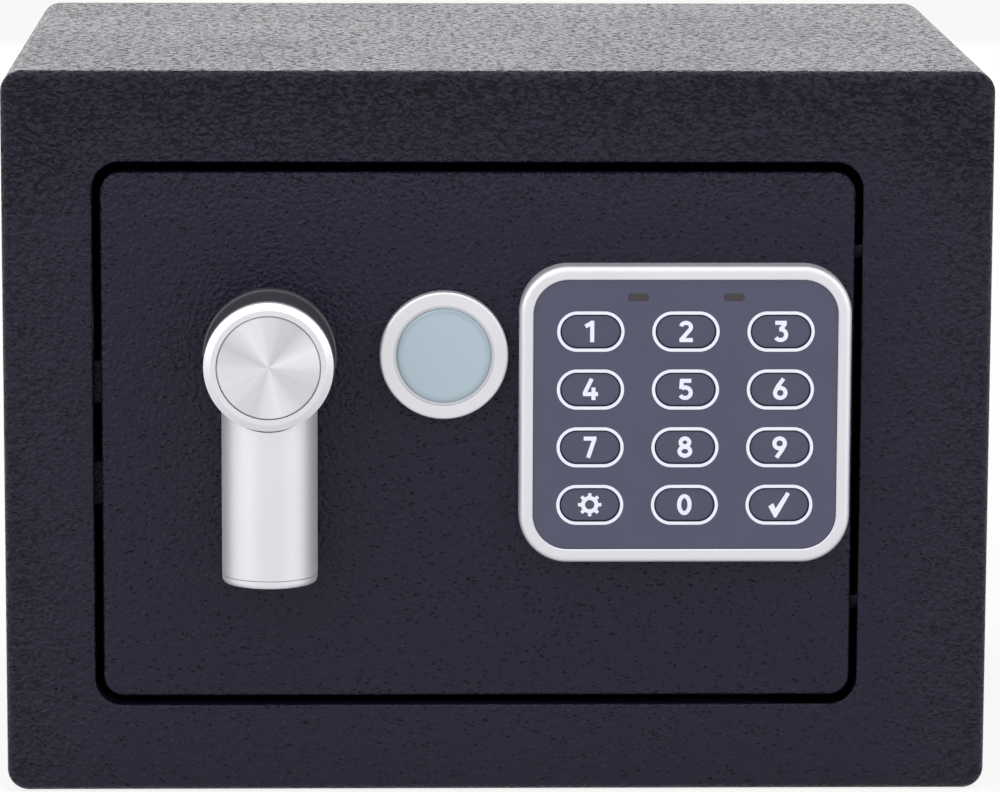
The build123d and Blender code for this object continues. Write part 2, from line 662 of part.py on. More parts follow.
def spindle_bush():
    """The flanged bush that carries the spindle in the door."""
    bush = rod_y(HANDLE_X, HANDLE_Z, BUSH_R, DOOR_FACE, DOOR_BACK)
    bush += rod_y(HANDLE_X, HANDLE_Z, BUSH_LIP_R, DOOR_BACK, DOOR_BACK + BUSH_LIP)
    bush -= rod_y(HANDLE_X, HANDLE_Z, SPINDLE_R + SPINDLE_CLEARANCE, DOOR_FACE - 1, DOOR_BACK + 5)
    keep("spindle_bush", bush)


def handle_hub():
    """The black body of the handle, bored for the spindle."""
    y1 = DOOR_FACE - COLLAR_H - HUB_GAP
    hub = rod_y(HANDLE_X, HANDLE_Z, HUB_R, y1 - HUB_H, y1)
    hub -= rod_y(HANDLE_X, HANDLE_Z, SPINDLE_R, y1 - HUB_H / 2, y1 + 1)
    keep("handle_hub", hub)


def handle_rim():
    """The silver bevelled ring with a sunk floor for the spun disc."""
    y1 = DOOR_FACE - COLLAR_H - HUB_GAP - HUB_H
    y0 = y1 - RIM_H
    rim = rod_y(HANDLE_X, HANDLE_Z, RIM_R, y0, y1)
    rim = chamfer(edges_at(rim, Axis.Y, y0), RIM_BEVEL * 0.75, RIM_BEVEL)
    rim = fillet(edges_at(rim, Axis.Y, y0), 0.25)
    rim -= rod_y(HANDLE_X, HANDLE_Z, DISC_R + DISC_GAP, y0 - 1, y0 + DISC_SUNK + DISC_THICK)
    keep("handle_rim", rim)
    disc_y = y0 + DISC_SUNK
    disc = rod_y(HANDLE_X, HANDLE_Z, DISC_R, disc_y, disc_y + DISC_THICK)
    disc = chamfer(edges_at(disc, Axis.Y, disc_y), 0.25)
    keep("handle_disc", disc)


def lever_outline(r):
    """The lever's D-shaped cross-section."""
    axis_y = DOOR_FACE - LEVER_AXIS_OUT
    back_y = DOOR_FACE - LEVER_BACK_OUT
    round_part = Pos(HANDLE_X, axis_y) * Circle(r)
    keep_part = Pos(HANDLE_X, back_y - 50) * Rectangle(4 * r, 100)
    return round_part & keep_part


def handle_lever():
    """The silver lever and the cap that closes its lower end."""
    cap_top = HANDLE_Z - LEVER_REACH + LEVER_CAP_H
    length = HANDLE_Z - cap_top
    lever = Pos(0, 0, cap_top) * extrude(lever_outline(LEVER_R), amount=length)
    lever -= rod_y(HANDLE_X, HANDLE_Z, HUB_R + LEVER_SEAT_GAP, DOOR_FACE - 40, DOOR_FACE + 5)
    back_y = DOOR_FACE - LEVER_BACK_OUT
    lever = fillet(edges_at(lever, Axis.Y, back_y).filter_by(Axis.Z), 0.8)
    keep("handle_lever", lever)
    cap_z = HANDLE_Z - LEVER_REACH
    cap_top_z = cap_top - LEVER_CAP_SEAM
    cap = Pos(0, 0, cap_z) * extrude(lever_outline(LEVER_R - 0.05), amount=cap_top_z - cap_z)
    cap = fillet(edges_at(cap, Axis.Z, cap_z), LEVER_CAP_R)
    neck = Pos(0, 0, cap_top_z - 0.1) * extrude(lever_outline(LEVER_R - 1.0), amount=LEVER_CAP_SEAM + 0.1)
    keep("lever_end_cap", cap + neck)


def handle_spindle():
    """The shaft from the hub through the door to the crank."""
    hub_back = DOOR_FACE - COLLAR_H - HUB_GAP
    spindle = rod_y(HANDLE_X, HANDLE_Z, SPINDLE_R, hub_back - HUB_H / 2, CRANK_Y + CRANK_SHEET)
    keep("handle_spindle", spindle)


def crank():
    """The round plate on the spindle, with the pin that moves the carrier."""
    plate = rod_y(HANDLE_X, HANDLE_Z, CRANK_R, CRANK_Y, CRANK_Y + CRANK_SHEET)
    plate -= rod_y(HANDLE_X, HANDLE_Z, SPINDLE_R, CRANK_Y - 1, CRANK_Y + CRANK_SHEET + 1)
    half_turn = math.radians(HANDLE_TURN / 2)
    x = HANDLE_X + CRANK_PIN_AT * math.sin(half_turn)
    z = HANDLE_Z - CRANK_PIN_AT * math.cos(half_turn)
    plate += rod_y(x, z, CRANK_PIN_R, CRANK_Y + CRANK_SHEET - 0.1, CARRIER_Y + CARRIER_SHEET + 1)
    keep("crank", plate)


# Solenoid

def solenoid():
    """The coil in its bent frame, bolted to the door below the notched rail."""
    w, d = SOLENOID_W / 2, SOLENOID_D / 2
    y, top, low = CARRIER_MID_Y, SOLENOID_TOP, SOLENOID_TOP - SOLENOID_H
    t = SOLENOID_SHEET
    frame = block(SOLENOID_X - w, SOLENOID_X + w, y - d, y + d, low, top)
    frame -= block(SOLENOID_X - w + t, SOLENOID_X + w - t, y - d - 1, y + d + 1, low + t, top - t)
    frame -= rod_z(SOLENOID_X, y, PLUNGER_R + PLUNGER_CLEARANCE, top - t - 1, top + 1)
    foot = block(SOLENOID_X - w - 5, SOLENOID_X + w + 5, DOOR_BACK, y - d, low, low + 10)
    keep("solenoid_frame", frame + foot)
    coil = rod_z(SOLENOID_X, y, d - 0.3, low + t, top - t)
    coil -= rod_z(SOLENOID_X, y, PLUNGER_R + PLUNGER_CLEARANCE, low + t + 4, top)
    for z in (low + t, top - t - 1.0):
        cheek = rod_z(SOLENOID_X, y, d, z, z + 1.0)
        coil += cheek - rod_z(SOLENOID_X, y, PLUNGER_R + PLUNGER_CLEARANCE, z - 1, z + 3)
    keep("solenoid_coil", coil)


def plunger():
    """The iron core with the tab that the key's cam pushes down."""
    y = CARRIER_MID_Y
    low = SOLENOID_TOP - SOLENOID_H + SOLENOID_SHEET + 4 + 0.5
    core = rod_z(SOLENOID_X, y, PLUNGER_R, low, PLUNGER_TOP)
    core = chamfer(edges_at(core, Axis.Z, PLUNGER_TOP), 0.5)
    tab_y = CARRIER_Y + CARRIER_SHEET + 0.8
    arm_z0, arm_z1 = PLUNGER_TOP - 2.6, PLUNGER_TOP - 1.0
    core += block(SOLENOID_X - TAB_W / 2, SOLENOID_X + TAB_W / 2, y, tab_y + TAB_SHEET, arm_z0, arm_z1)
    tab_top = HANDLE_Z - CAM_REACH - PLUNGER_REST_GAP
    core += block(SOLENOID_X - TAB_W / 2, SOLENOID_X + TAB_W / 2, tab_y, tab_y + TAB_SHEET,
                  arm_z0, tab_top)
    keep("plunger", core)


def plunger_spring():
    """The coil spring between the solenoid and the plunger's arm, as closed up at rest."""
    z0 = SOLENOID_TOP + SPRING_WIRE_R + 0.1
    height = PLUNGER_FREE - 2.6 - 2 * SPRING_WIRE_R - 0.3
    path = Pos(SOLENOID_X, CARRIER_MID_Y, z0) * Helix(height / SPRING_TURNS, height, SPRING_R)
    section = Plane(origin=path @ 0, z_dir=path % 0) * Circle(SPRING_WIRE_R)
    keep("plunger_spring", sweep(section, path=path))


# Key override

def lock_cylinder():
    """The lock's body with its front collar, and the nut that holds it."""
    collar_y = DOOR_FACE - LOCK_COLLAR_H
    inside = CARRIER_Y + CARRIER_SHEET + 0.8 - CAM_RUN_GAP
    body = rod_y(LOCK_X, HANDLE_Z, LOCK_R, DOOR_FACE, inside)
    body += rod_y(LOCK_X, HANDLE_Z, LOCK_COLLAR_R, collar_y, DOOR_FACE)
    body -= rod_y(LOCK_X, HANDLE_Z, PLUG_R + PLUG_CLEARANCE, collar_y - 1, inside + 1)
    keep("lock_cylinder", body)
    hexagon = Pos(LOCK_X, DOOR_BACK + LOCK_NUT_H, HANDLE_Z) * (Plane.XZ * RegularPolygon(LOCK_NUT_R, 6))
    nut = extrude(hexagon, amount=LOCK_NUT_H)
    nut -= rod_y(LOCK_X, HANDLE_Z, LOCK_R, DOOR_BACK - 1, DOOR_BACK + LOCK_NUT_H + 1)
    keep("lock_nut", nut)


def lock_plug():
    """The turning plug with its keyway, and the cam on its inner end."""
    front = DOOR_FACE - LOCK_COLLAR_H
    cam_y = CARRIER_Y + CARRIER_SHEET + 0.8
    plug = rod_y(LOCK_X, HANDLE_Z, PLUG_R, front, cam_y)
    plug -= block(LOCK_X - KEYWAY_W / 2, LOCK_X + KEYWAY_W / 2, front - 1, front + KEYWAY_DEEP,
                  HANDLE_Z - KEYWAY_H / 2, HANDLE_Z + KEYWAY_H / 2)
    cam = rod_y(LOCK_X, HANDLE_Z, PLUG_R, cam_y, cam_y + CAM_SHEET)
    cam += block(LOCK_X - CAM_REACH, LOCK_X, cam_y, cam_y + CAM_SHEET,
                 HANDLE_Z - CAM_HALF_W, HANDLE_Z + CAM_HALF_W)
    cam &= rod_y(LOCK_X, HANDLE_Z, CAM_REACH, cam_y - 1, cam_y + CAM_SHEET + 1)
    tail = block(LOCK_X - 2.5, LOCK_X + 2.5, cam_y - 0.1, cam_y + CAM_SHEET, HANDLE_Z - 2.5, HANDLE_Z + 2.5)
    keep("lock_cam", cam - tail)
    rivet = rod_y(LOCK_X, HANDLE_Z, 4.0, cam_y + CAM_SHEET, cam_y + CAM_SHEET + 0.8)
    keep("lock_plug", plug + tail + rivet)


def badge():
    """The round cap that hides the keyhole, and its domed label."""
    y0 = DOOR_FACE - BADGE_H
    cap = rod_y(LOCK_X, HANDLE_Z, BADGE_R, y0, DOOR_FACE - 0.1)
    cap = fillet(edges_at(cap, Axis.Y, y0), BADGE_EDGE_R)
    cap -= rod_y(LOCK_X, HANDLE_Z, LOCK_COLLAR_R + BADGE_FIT, DOOR_FACE - LOCK_COLLAR_H - 0.2, DOOR_FACE + 1)
    groove = rod_y(LOCK_X, HANDLE_Z, BADGE_GROOVE_R, y0 - 1, y0 + BADGE_POCKET)
    cap -= groove
    keep("badge_cap", cap)
    floor = y0 + BADGE_POCKET
    label = rod_y(LOCK_X, HANDLE_Z, BADGE_LABEL_R, floor - BADGE_LABEL_H, floor)
    label = fillet(edges_at(label, Axis.Y, floor - BADGE_LABEL_H), BADGE_LABEL_H * 0.8)
    keep("badge_label", label)


# Keypad

def key_place(column, row):
    """The centre of a key."""
    return PAD_X + (column - 1) * KEY_PITCH_X, KEY_FIRST_Z - row * KEY_PITCH_Z


def window_places():
    """The centres of the two indicator windows."""
    middle = PAD_X
    return [(middle + side * WINDOW_SPREAD / 2, WINDOW_Z) for side in (-1, 1)]


def keypad_bezel():
    """The silver ring round the keypad."""
    x0, x1 = PAD_X - PAD_W / 2, PAD_X + PAD_W / 2
    z0, z1 = PAD_Z - PAD_H / 2, PAD_Z + PAD_H / 2
    front = DOOR_FACE - PAD_OUT
    ring = slab(x0, x1, z0, z1, PAD_R, front, DOOR_FACE)
    ring = fillet(edges_at(ring, Axis.Y, front), PAD_EDGE_R)
    r = PAD_R - PAD_RING
    hole = slab(x0 + PAD_RING, x1 - PAD_RING, z0 + PAD_RING, z1 - PAD_RING, r, front - 1, DOOR_FACE + 1)
    ring -= hole
    inner = edges_at(ring, Axis.Y, front).sort_by(lambda e: abs(e.center().X - PAD_X) / PAD_W
                                                  + abs(e.center().Z - PAD_Z) / PAD_H)
    ring = chamfer(inner.filter_by(lambda e: inside_pad(e.center(), PAD_RING + 0.1)), 0.2)
    keep("keypad_bezel", ring)


def inside_pad(point, ring):
    """Whether a point lies on or within the bezel's inner outline."""
    return abs(point.X - PAD_X) < PAD_W / 2 - ring + 0.3 and abs(point.Z - PAD_Z) < PAD_H / 2 - ring + 0.3


def pad_plate(grow, y0, y1):
    """A plate that fits the bezel's opening, less a gap."""
    inset = PAD_RING + grow
    return slab(PAD_X - PAD_W / 2 + inset, PAD_X + PAD_W / 2 - inset, PAD_Z - PAD_H / 2 + inset,
                PAD_Z + PAD_H / 2 - inset, PAD_R - inset, y0, y1)


def keypad_panel():
    """The dark face with openings for the keys and the two windows."""
    panel = pad_plate(PAD_WALL_GAP, PANEL_FACE, PANEL_BACK)
    for _, column, row in KEYS:
        x, z = key_place(column, row)
        panel -= stadium(x, z, KEY_W, KEY_H, PANEL_FACE - 1, PANEL_BACK + 1)
    for x, z in window_places():
        panel -= stadium(x, z, WINDOW_W, WINDOW_H, PANEL_FACE - 1, PANEL_BACK + 1)
    keep("keypad_panel", panel)
    windows = [stadium(x, z, WINDOW_W, WINDOW_H, PANEL_FACE + 0.1, PANEL_BACK) for x, z in window_places()]
    keep("indicator_windows", Compound(children=windows))


def keypad_board():
    """The base plate on the door and the circuit board with a dome under each key and two lamps."""
    base = pad_plate(PAD_WALL_GAP, DOOR_FACE - PAD_BASE_THICK, DOOR_FACE)
    base -= rod_y(PAD_X, PAD_Z + CABLE_RISE, CABLE_HOLE_R, DOOR_FACE - 3, DOOR_FACE + 1)
    keep("keypad_base", base)
    board = pad_plate(PAD_WALL_GAP + 1.0, PAD_BOARD_FACE, PAD_BOARD_BACK)
    for _, column, row in KEYS:
        x, z = key_place(column, row)
        board += rod_y(x, z, DOME_R, PAD_BOARD_FACE - DOME_H, PAD_BOARD_FACE + 0.1)
    for x, z in window_places():
        board += rod_y(x, z, LED_R, PANEL_BACK + 0.3, PAD_BOARD_FACE + 0.1)
    keep("keypad_board", board)


def key(name, column, row):
    """One key: a cap level with the panel and a flange that keeps it in."""
    x, z = key_place(column, row)
    face = PANEL_FACE + KEY_SUNK
    flange_front = PANEL_BACK + KEY_FLANGE_GAP
    cap = stadium(x, z, KEY_W - 2 * KEY_GAP, KEY_H - 2 * KEY_GAP, face, flange_front + 0.1)
    cap = fillet(edges_at(cap, Axis.Y, face), 0.25)
    cap += stadium(x, z, KEY_W + 2 * KEY_FLANGE, KEY_H + 2 * KEY_FLANGE,
                   flange_front, flange_front + KEY_FLANGE_THICK)
    keep(name, cap)


# Electronics inside the door

def battery_tray():
    """The tray with four channels, and its contact plates."""
    x0, x1 = TRAY_X - TRAY_W / 2 + TRAY_GAP, TRAY_X + TRAY_W / 2 - TRAY_GAP
    z0, z1 = TRAY_Z - TRAY_H / 2 + TRAY_GAP, TRAY_Z + TRAY_H / 2 - TRAY_GAP
    tray = block(x0, x1, TRAY_FLOOR, TRAY_BACK, z0, z1)
    wall = TRAY_WALL - TRAY_GAP
    for k in range(CELL_COUNT):
        x = cell_x(k)
        half = CELL_PITCH / 2 - 0.3
        tray -= block(x - half, x + half, CELL_Y, TRAY_BACK + 1, z0 + wall, z1 - wall)
        tray -= rod_z(x, CELL_Y, half, z0 + wall, z1 - wall)
    keep("battery_tray", tray)
    plates = []
    for k in range(CELL_COUNT):
        for end in (-1, 1):
            z = TRAY_Z + end * (CELL_LEN / 2 + TRAY_END_GAP - 0.35)
            plates.append(block(cell_x(k) - 4.5, cell_x(k) + 4.5, CELL_Y - 4.5, CELL_Y + 4.5,
                                z - 0.25, z + 0.25))
    keep("battery_contacts", Compound(children=plates))


def cell_x(k):
    """The centre of a cell in the tray."""
    return TRAY_X + (k - (CELL_COUNT - 1) / 2) * CELL_PITCH


def batteries():
    """Four cells, turned alternately end for end."""
    cells = []
    for k in range(CELL_COUNT):
        up = 1 if k % 2 == 0 else -1
        half = CELL_LEN / 2
        cell = rod_z(cell_x(k), CELL_Y, CELL_R, TRAY_Z - half, TRAY_Z + half)
        cell = fillet(edges_at(cell, Axis.Z, TRAY_Z + half) + edges_at(cell, Axis.Z, TRAY_Z - half), 0.8)
        nub = sorted((TRAY_Z + up * (half - 0.1), TRAY_Z + up * (half + CELL_NUB)))
        cells.append(cell + rod_z(cell_x(k), CELL_Y, CELL_NUB_R, *nub))
    keep("batteries", Compound(children=cells))


def battery_lid():
    """The lid over the cells, with a rim that fits the liner's opening and a finger catch."""
    x0, x1 = TRAY_X - TRAY_W / 2, TRAY_X + TRAY_W / 2
    z0, z1 = TRAY_Z - TRAY_H / 2, TRAY_Z + TRAY_H / 2
    lid = slab(x0 - LID_LAP, x1 + LID_LAP, z0 - LID_LAP, z1 + LID_LAP, 3.0,
               LINER_BACK + 0.1, LINER_BACK + 0.1 + LID_SHEET)
    lid = fillet(edges_at(lid, Axis.Y, LINER_BACK + 0.1 + LID_SHEET), 0.8)
    rim = block(x0 + LID_GAP, x1 - LID_GAP, LINER_BACK - LINER_SHEET + 0.2, LINER_BACK + 0.2,
                z0 + LID_GAP, z1 - LID_GAP)
    rim -= block(x0 + LID_RIM, x1 - LID_RIM, LINER_BACK - LINER_SHEET - 1, LINER_BACK + 0.1,
                 z0 + LID_RIM, z1 - LID_RIM)
    catch_z = z1 + LID_LAP - 6
    lid -= stadium(TRAY_X, catch_z, 14, 4, LINER_BACK + 0.1 + LID_SHEET - 0.9, LINER_BACK + 5)
    keep("battery_lid", lid + rim)


def control_board():
    """The lock's circuit board on four posts, with its chips, relay, connectors and sounder."""
    x0, x1 = BOARD_X - BOARD_W / 2, BOARD_X + BOARD_W / 2
    z0, z1 = BOARD_Z - BOARD_H / 2, BOARD_Z + BOARD_H / 2
    face = BOARD_Y + BOARD_THICK
    board = block(x0, x1, BOARD_Y, face, z0, z1)
    board += block(x0 + 6, x0 + 18, face - 0.1, face + 2, BOARD_Z - 4, BOARD_Z + 6)
    switch_top = LINER_BACK - RESET_SHANK - RESET_TRAVEL - 0.3
    board += block(RESET_X - 4, RESET_X + 4, face - 0.1, switch_top - 1, RESET_Z - 4, RESET_Z + 4)
    board += rod_y(RESET_X, RESET_Z, 1.6, switch_top - 1.1, switch_top)
    board += block(x0 + 4, x0 + 14, face - 0.1, face + 5, z0 + 3, z0 + 9)
    board += block(x0 + 20, x0 + 30, face - 0.1, face + 5, z0 + 3, z0 + 9)
    keep("control_board", board)
    sounder = rod_y(x1 - 28, z1 - 10, SOUNDER_R, face, face + SOUNDER_H)
    sounder -= rod_y(x1 - 28, z1 - 10, 1.2, face + SOUNDER_H - 1.5, face + SOUNDER_H + 1)
    keep("sounder", sounder)


def reset_button():
    """The small red button through the liner, with the flange that keeps it in."""
    tip = LINER_BACK + RESET_OUT
    low = LINER_BACK - RESET_SHANK
    button = rod_y(RESET_X, RESET_Z, RESET_R, low, tip)
    button = fillet(edges_at(button, Axis.Y, tip), 0.6)
    flange_back = LINER_BACK - LINER_SHEET - KEY_FLANGE_GAP
    button += rod_y(RESET_X, RESET_Z, RESET_R + 1.2, flange_back - 1.2, flange_back)
    keep("reset_button", button)


def lead(points, bend):
    """A round lead along straight runs joined by arcs."""
    radii = [bend] * (len(points) - 2)
    path = FilletPolyline(*points, radius=radii)
    section = Plane(origin=path @ 0, z_dir=path % 0) * Circle(WIRE_R)
    return sweep(section, path=path)


def wiring():
    """The keypad lead through the door, the battery lead and the solenoid lead."""
    face = BOARD_Y + BOARD_THICK + 5
    plug_z = BOARD_Z - BOARD_H / 2 + 6
    first_x = BOARD_X - BOARD_W / 2 + 25
    hole_z = PAD_Z + CABLE_RISE
    keypad_run = [
        (PAD_X, PAD_BOARD_BACK, hole_z), (PAD_X, face + 4, hole_z),
        (first_x, face + 4, plug_z), (first_x, face, plug_z),
    ]
    second_x = BOARD_X - BOARD_W / 2 + 9
    coil_side = SOLENOID_X + SOLENOID_W / 2
    coil_run = [
        (second_x, CARRIER_MID_Y, plug_z - 3), (second_x, CARRIER_MID_Y, SOLENOID_TOP - 10),
        (coil_side, CARRIER_MID_Y, SOLENOID_TOP - 10),
    ]
    third_x = RESET_X - 2
    battery_y = CELL_Y - 5
    battery_run = [
        (third_x, battery_y, TRAY_Z + TRAY_H / 2 - TRAY_GAP), (third_x, battery_y, plug_z + 2),
        (third_x, BOARD_Y + BOARD_THICK, plug_z + 2),
    ]
    leads = [lead(keypad_run, 2.0), lead(coil_run, 5.0), lead(battery_run, 4.0)]
    keep("wiring", Compound(children=leads))


def build():
    """Makes every piece and writes one file for each."""
    cabinet_wrap()
    front_frame()
    back_panel()
    strike_channel()
    floor_liner()
    hinges()
    door_plate()
    door_liner()
    door_studs()
    bolt_guide()
    bolt_carrier()
    for place, z in zip(("lower", "upper"), BOLT_ZS):
        locking_bolt(f"locking_bolt_{place}", z)
    handle_collar()
    spindle_bush()
    handle_hub()
    handle_rim()
    handle_lever()
    handle_spindle()
    crank()
    solenoid()
    plunger()
    plunger_spring()
    lock_cylinder()
    lock_plug()
    badge()
    keypad_bezel()
    keypad_panel()
    keypad_board()
    for name, column, row in KEYS:
        key(name, column, row)
    battery_tray()
    batteries()
    battery_lid()
    control_board()
    reset_button()
    wiring()


build()
os.makedirs("parts", exist_ok=True)
for node, shape in MADE.items():
    export_step(shape, f"parts/{node}.step")
print(len(MADE), "nodes")
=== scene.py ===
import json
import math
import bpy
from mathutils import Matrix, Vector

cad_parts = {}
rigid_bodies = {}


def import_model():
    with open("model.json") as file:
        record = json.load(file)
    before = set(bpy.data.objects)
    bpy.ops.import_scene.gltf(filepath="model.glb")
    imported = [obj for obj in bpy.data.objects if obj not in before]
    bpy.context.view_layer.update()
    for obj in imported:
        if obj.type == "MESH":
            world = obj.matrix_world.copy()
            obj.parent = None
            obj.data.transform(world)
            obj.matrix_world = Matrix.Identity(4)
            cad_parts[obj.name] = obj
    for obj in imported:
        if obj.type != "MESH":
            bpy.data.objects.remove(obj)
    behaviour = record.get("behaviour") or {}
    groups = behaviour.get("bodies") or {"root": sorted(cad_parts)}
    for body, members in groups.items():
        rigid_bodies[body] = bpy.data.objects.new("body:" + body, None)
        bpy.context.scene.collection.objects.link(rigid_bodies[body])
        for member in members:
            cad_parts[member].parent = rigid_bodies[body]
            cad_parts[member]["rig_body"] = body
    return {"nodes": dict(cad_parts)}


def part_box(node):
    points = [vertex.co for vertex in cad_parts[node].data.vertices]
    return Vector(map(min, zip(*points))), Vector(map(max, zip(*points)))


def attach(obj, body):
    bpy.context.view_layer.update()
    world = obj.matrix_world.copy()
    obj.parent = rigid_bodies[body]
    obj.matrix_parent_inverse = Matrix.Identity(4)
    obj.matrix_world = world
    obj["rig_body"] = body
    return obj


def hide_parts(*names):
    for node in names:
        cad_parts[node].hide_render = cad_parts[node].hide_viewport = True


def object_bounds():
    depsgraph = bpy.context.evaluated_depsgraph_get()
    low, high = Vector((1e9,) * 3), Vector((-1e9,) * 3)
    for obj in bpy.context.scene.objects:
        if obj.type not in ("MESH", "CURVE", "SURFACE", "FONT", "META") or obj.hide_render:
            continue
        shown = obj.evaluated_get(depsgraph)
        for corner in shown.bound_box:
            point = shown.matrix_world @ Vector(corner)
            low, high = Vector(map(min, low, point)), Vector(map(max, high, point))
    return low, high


bl_info = {
    "name": "Electronic Safe",
    "version": (1, 0, 0),
    "blender": (4, 5, 0),
    "location": "3D View > Sidebar > Safe",
    "description": "Finishes, printing and stage for a small electronic safe",
    "category": "Object",
}

import bpy
from mathutils import Matrix, Vector

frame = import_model()
CAD_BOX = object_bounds()

MM = 0.001
# The camera that fits the cabinet's corners in the photograph, in metres and degrees
CAMERA_PLACE = (-0.0312, -1.3203, 0.3016)
CAMERA_YAW, CAMERA_PITCH, CAMERA_ROLL = 1.47, 9.53, 0.21
FOCAL_PX = 5383.0
PHOTO_WIDTH_PX = 1000.0
SENSOR_MM = 36.0
# The size that the digits' strokes are drawn at, and how far each stroke stands over the last
DIGIT_TALL_MM = 5.0
STROKE_LIFT_MM = 0.004
COATED = ("cabinet_wrap", "front_frame", "back_panel", "door_plate", "strike_channel")
SILVERED = ("handle_rim", "handle_lever", "lever_end_cap", "badge_cap", "keypad_bezel")
PLATED = ("bolt_guide", "bolt_carrier", "hinge_brackets", "hinge_arms",
          "solenoid_frame", "crank", "lock_cam", "battery_contacts", "door_studs")
TURNED = ("locking_bolt_lower", "locking_bolt_upper", "hinge_pins", "liner_screws", "plunger",
          "plunger_spring", "handle_spindle", "lock_nut")


def arc(x, y, across, up, start, end, steps=18):
    """Points along part of an ellipse, from one angle to another in degrees."""
    turns = [math.radians(start + (end - start) * k / steps) for k in range(steps + 1)]
    return [(x + across * math.cos(t), y + up * math.sin(t)) for t in turns]


def turned_round(strokes):
    return [[(-x, -y) for x, y in line] for line in strokes]


# The middle lines of each digit's strokes, in millimetres from its middle
SIX = [arc(0, -0.85, 1.22, 1.18, -5, 185), arc(0, -0.85, 1.22, 1.18, 175, 365),
       [(0.72, 2.5), (-0.55, 0.75), (-1.12, -0.35)]]
DIGITS = {
    "key_0": [arc(0, 0, 1.22, 2.02, -3, 183), arc(0, 0, 1.22, 2.02, 177, 363)],
    "key_1": [[(0.32, 2.5), (0.32, -2.5)], [(0.55, 2.2), (-1.25, 1.15)]],
    "key_2": [arc(0, 1.0, 1.15, 1.02, 168, -28) + [(-0.95, -1.8)], [(-1.5, -2.02), (1.6, -2.02)]],
    "key_3": [[(-1.35, 2.02), (1.3, 2.02)], [(1.0, 1.9), (0.0, 0.55)],
              arc(-0.08, -0.78, 1.28, 1.24, 105, -148)],
    "key_4": [[(0.3, 2.5), (-1.4, -1.0)], [(-1.75, -1.1), (1.75, -1.1)], [(0.72, 0.45), (0.72, -2.5)]],
    "key_5": [[(-1.25, 2.02), (1.35, 2.02)], [(-0.82, 2.3), (-0.98, 0.1)],
              arc(-0.05, -0.78, 1.3, 1.24, 128, -150)],
    "key_6": SIX,
    "key_7": [[(-1.5, 2.02), (1.45, 2.02)], [(1.08, 2.2), (-0.45, -2.5)]],
    "key_8": [arc(0, 1.12, 1.0, 0.92, -5, 185), arc(0, 1.12, 1.0, 0.92, 175, 365),
              arc(0, -1.0, 1.25, 1.04, -5, 185), arc(0, -1.0, 1.25, 1.04, 175, 365)],
    "key_9": turned_round(SIX),
}


# Sizes and colours that a user would change

class SafeSizes(bpy.types.PropertyGroup):
    """Sizes of what is added to the safe's surfaces"""
    coat_grain: bpy.props.FloatProperty(
        name="Coat grain", description="Size of one bump of the textured coat, in millimetres",
        default=1.5, min=0.3, max=6.0)
    coat_relief: bpy.props.FloatProperty(
        name="Coat relief", description="Height of the textured coat, in millimetres",
        default=0.95, min=0.0, max=2.0)
    print_height: bpy.props.FloatProperty(
        name="Print height", description="How far the white print stands off the panel",
        default=0.00004, min=0.00001, max=0.0005, unit="LENGTH", precision=5)
    outline_line: bpy.props.FloatProperty(
        name="Outline line", description="Width of the line round each key",
        default=0.00072, min=0.0001, max=0.002, unit="LENGTH", precision=5)
    outline_gap: bpy.props.FloatProperty(
        name="Outline gap", description="Distance from a key's opening to the outside of its line",
        default=0.0008, min=0.0002, max=0.002, unit="LENGTH", precision=5)
    digit_height: bpy.props.FloatProperty(
        name="Digit height", description="Height of the digits on the keys",
        default=0.005, min=0.001, max=0.01, unit="LENGTH", precision=4)
    digit_weight: bpy.props.FloatProperty(
        name="Digit weight", description="Width of a digit's strokes",
        default=0.00095, min=0.0001, max=0.002, unit="LENGTH", precision=5)


class SafeColours(bpy.types.PropertyGroup):
    """Colours of the safe's finishes"""
    coat: bpy.props.FloatVectorProperty(
        name="Powder coat", description="Colour of the cabinet and the door", subtype="COLOR",
        size=3, min=0, max=1, default=(0.0075, 0.0062, 0.0185))
    silver: bpy.props.FloatVectorProperty(
        name="Satin silver", description="Colour of the handle, cap and keypad surround",
        subtype="COLOR", size=3, min=0, max=1, default=(0.70, 0.695, 0.735))
    hub: bpy.props.FloatVectorProperty(
        name="Hub", description="Colour of the handle's dark body", subtype="COLOR",
        size=3, min=0, max=1, default=(0.045, 0.043, 0.054))
    panel: bpy.props.FloatVectorProperty(
        name="Keypad panel", description="Colour of the printed panel", subtype="COLOR",
        size=3, min=0, max=1, default=(0.066, 0.067, 0.114))
    keys: bpy.props.FloatVectorProperty(
        name="Keys", description="Colour of the keys", subtype="COLOR",
        size=3, min=0, max=1, default=(0.062, 0.063, 0.106))
    ink: bpy.props.FloatVectorProperty(
        name="Print", description="Colour of the digits and outlines", subtype="COLOR",
        size=3, min=0, max=1, default=(0.80, 0.80, 0.90))
    label: bpy.props.FloatVectorProperty(
        name="Cap label", description="Colour of the domed label on the round cap",
        subtype="COLOR", size=3, min=0, max=1, default=(0.36, 0.455, 0.52))
    felt: bpy.props.FloatVectorProperty(
        name="Felt", description="Colour of the pad on the cabinet's floor", subtype="COLOR",
        size=3, min=0, max=1, default=(0.03, 0.03, 0.034))


class SafeStage(bpy.types.PropertyGroup):
    """Light and floor"""
    lamp: bpy.props.FloatProperty(
        name="Lamps", description="Power of the soft lamps", default=1.0, min=0, max=10)
    sky: bpy.props.FloatProperty(
        name="Surround", description="Brightness of the pale surround", default=0.62, min=0, max=2)
    glow: bpy.props.FloatProperty(
        name="Floor white", description="How far the floor is lifted towards white where it is seen",
        default=0.85, min=0, max=1)
    floor: bpy.props.FloatVectorProperty(
        name="Floor", description="Colour of the floor", subtype="COLOR", size=3, min=0, max=1,
        default=(0.86, 0.86, 0.86))


# Shader arithmetic

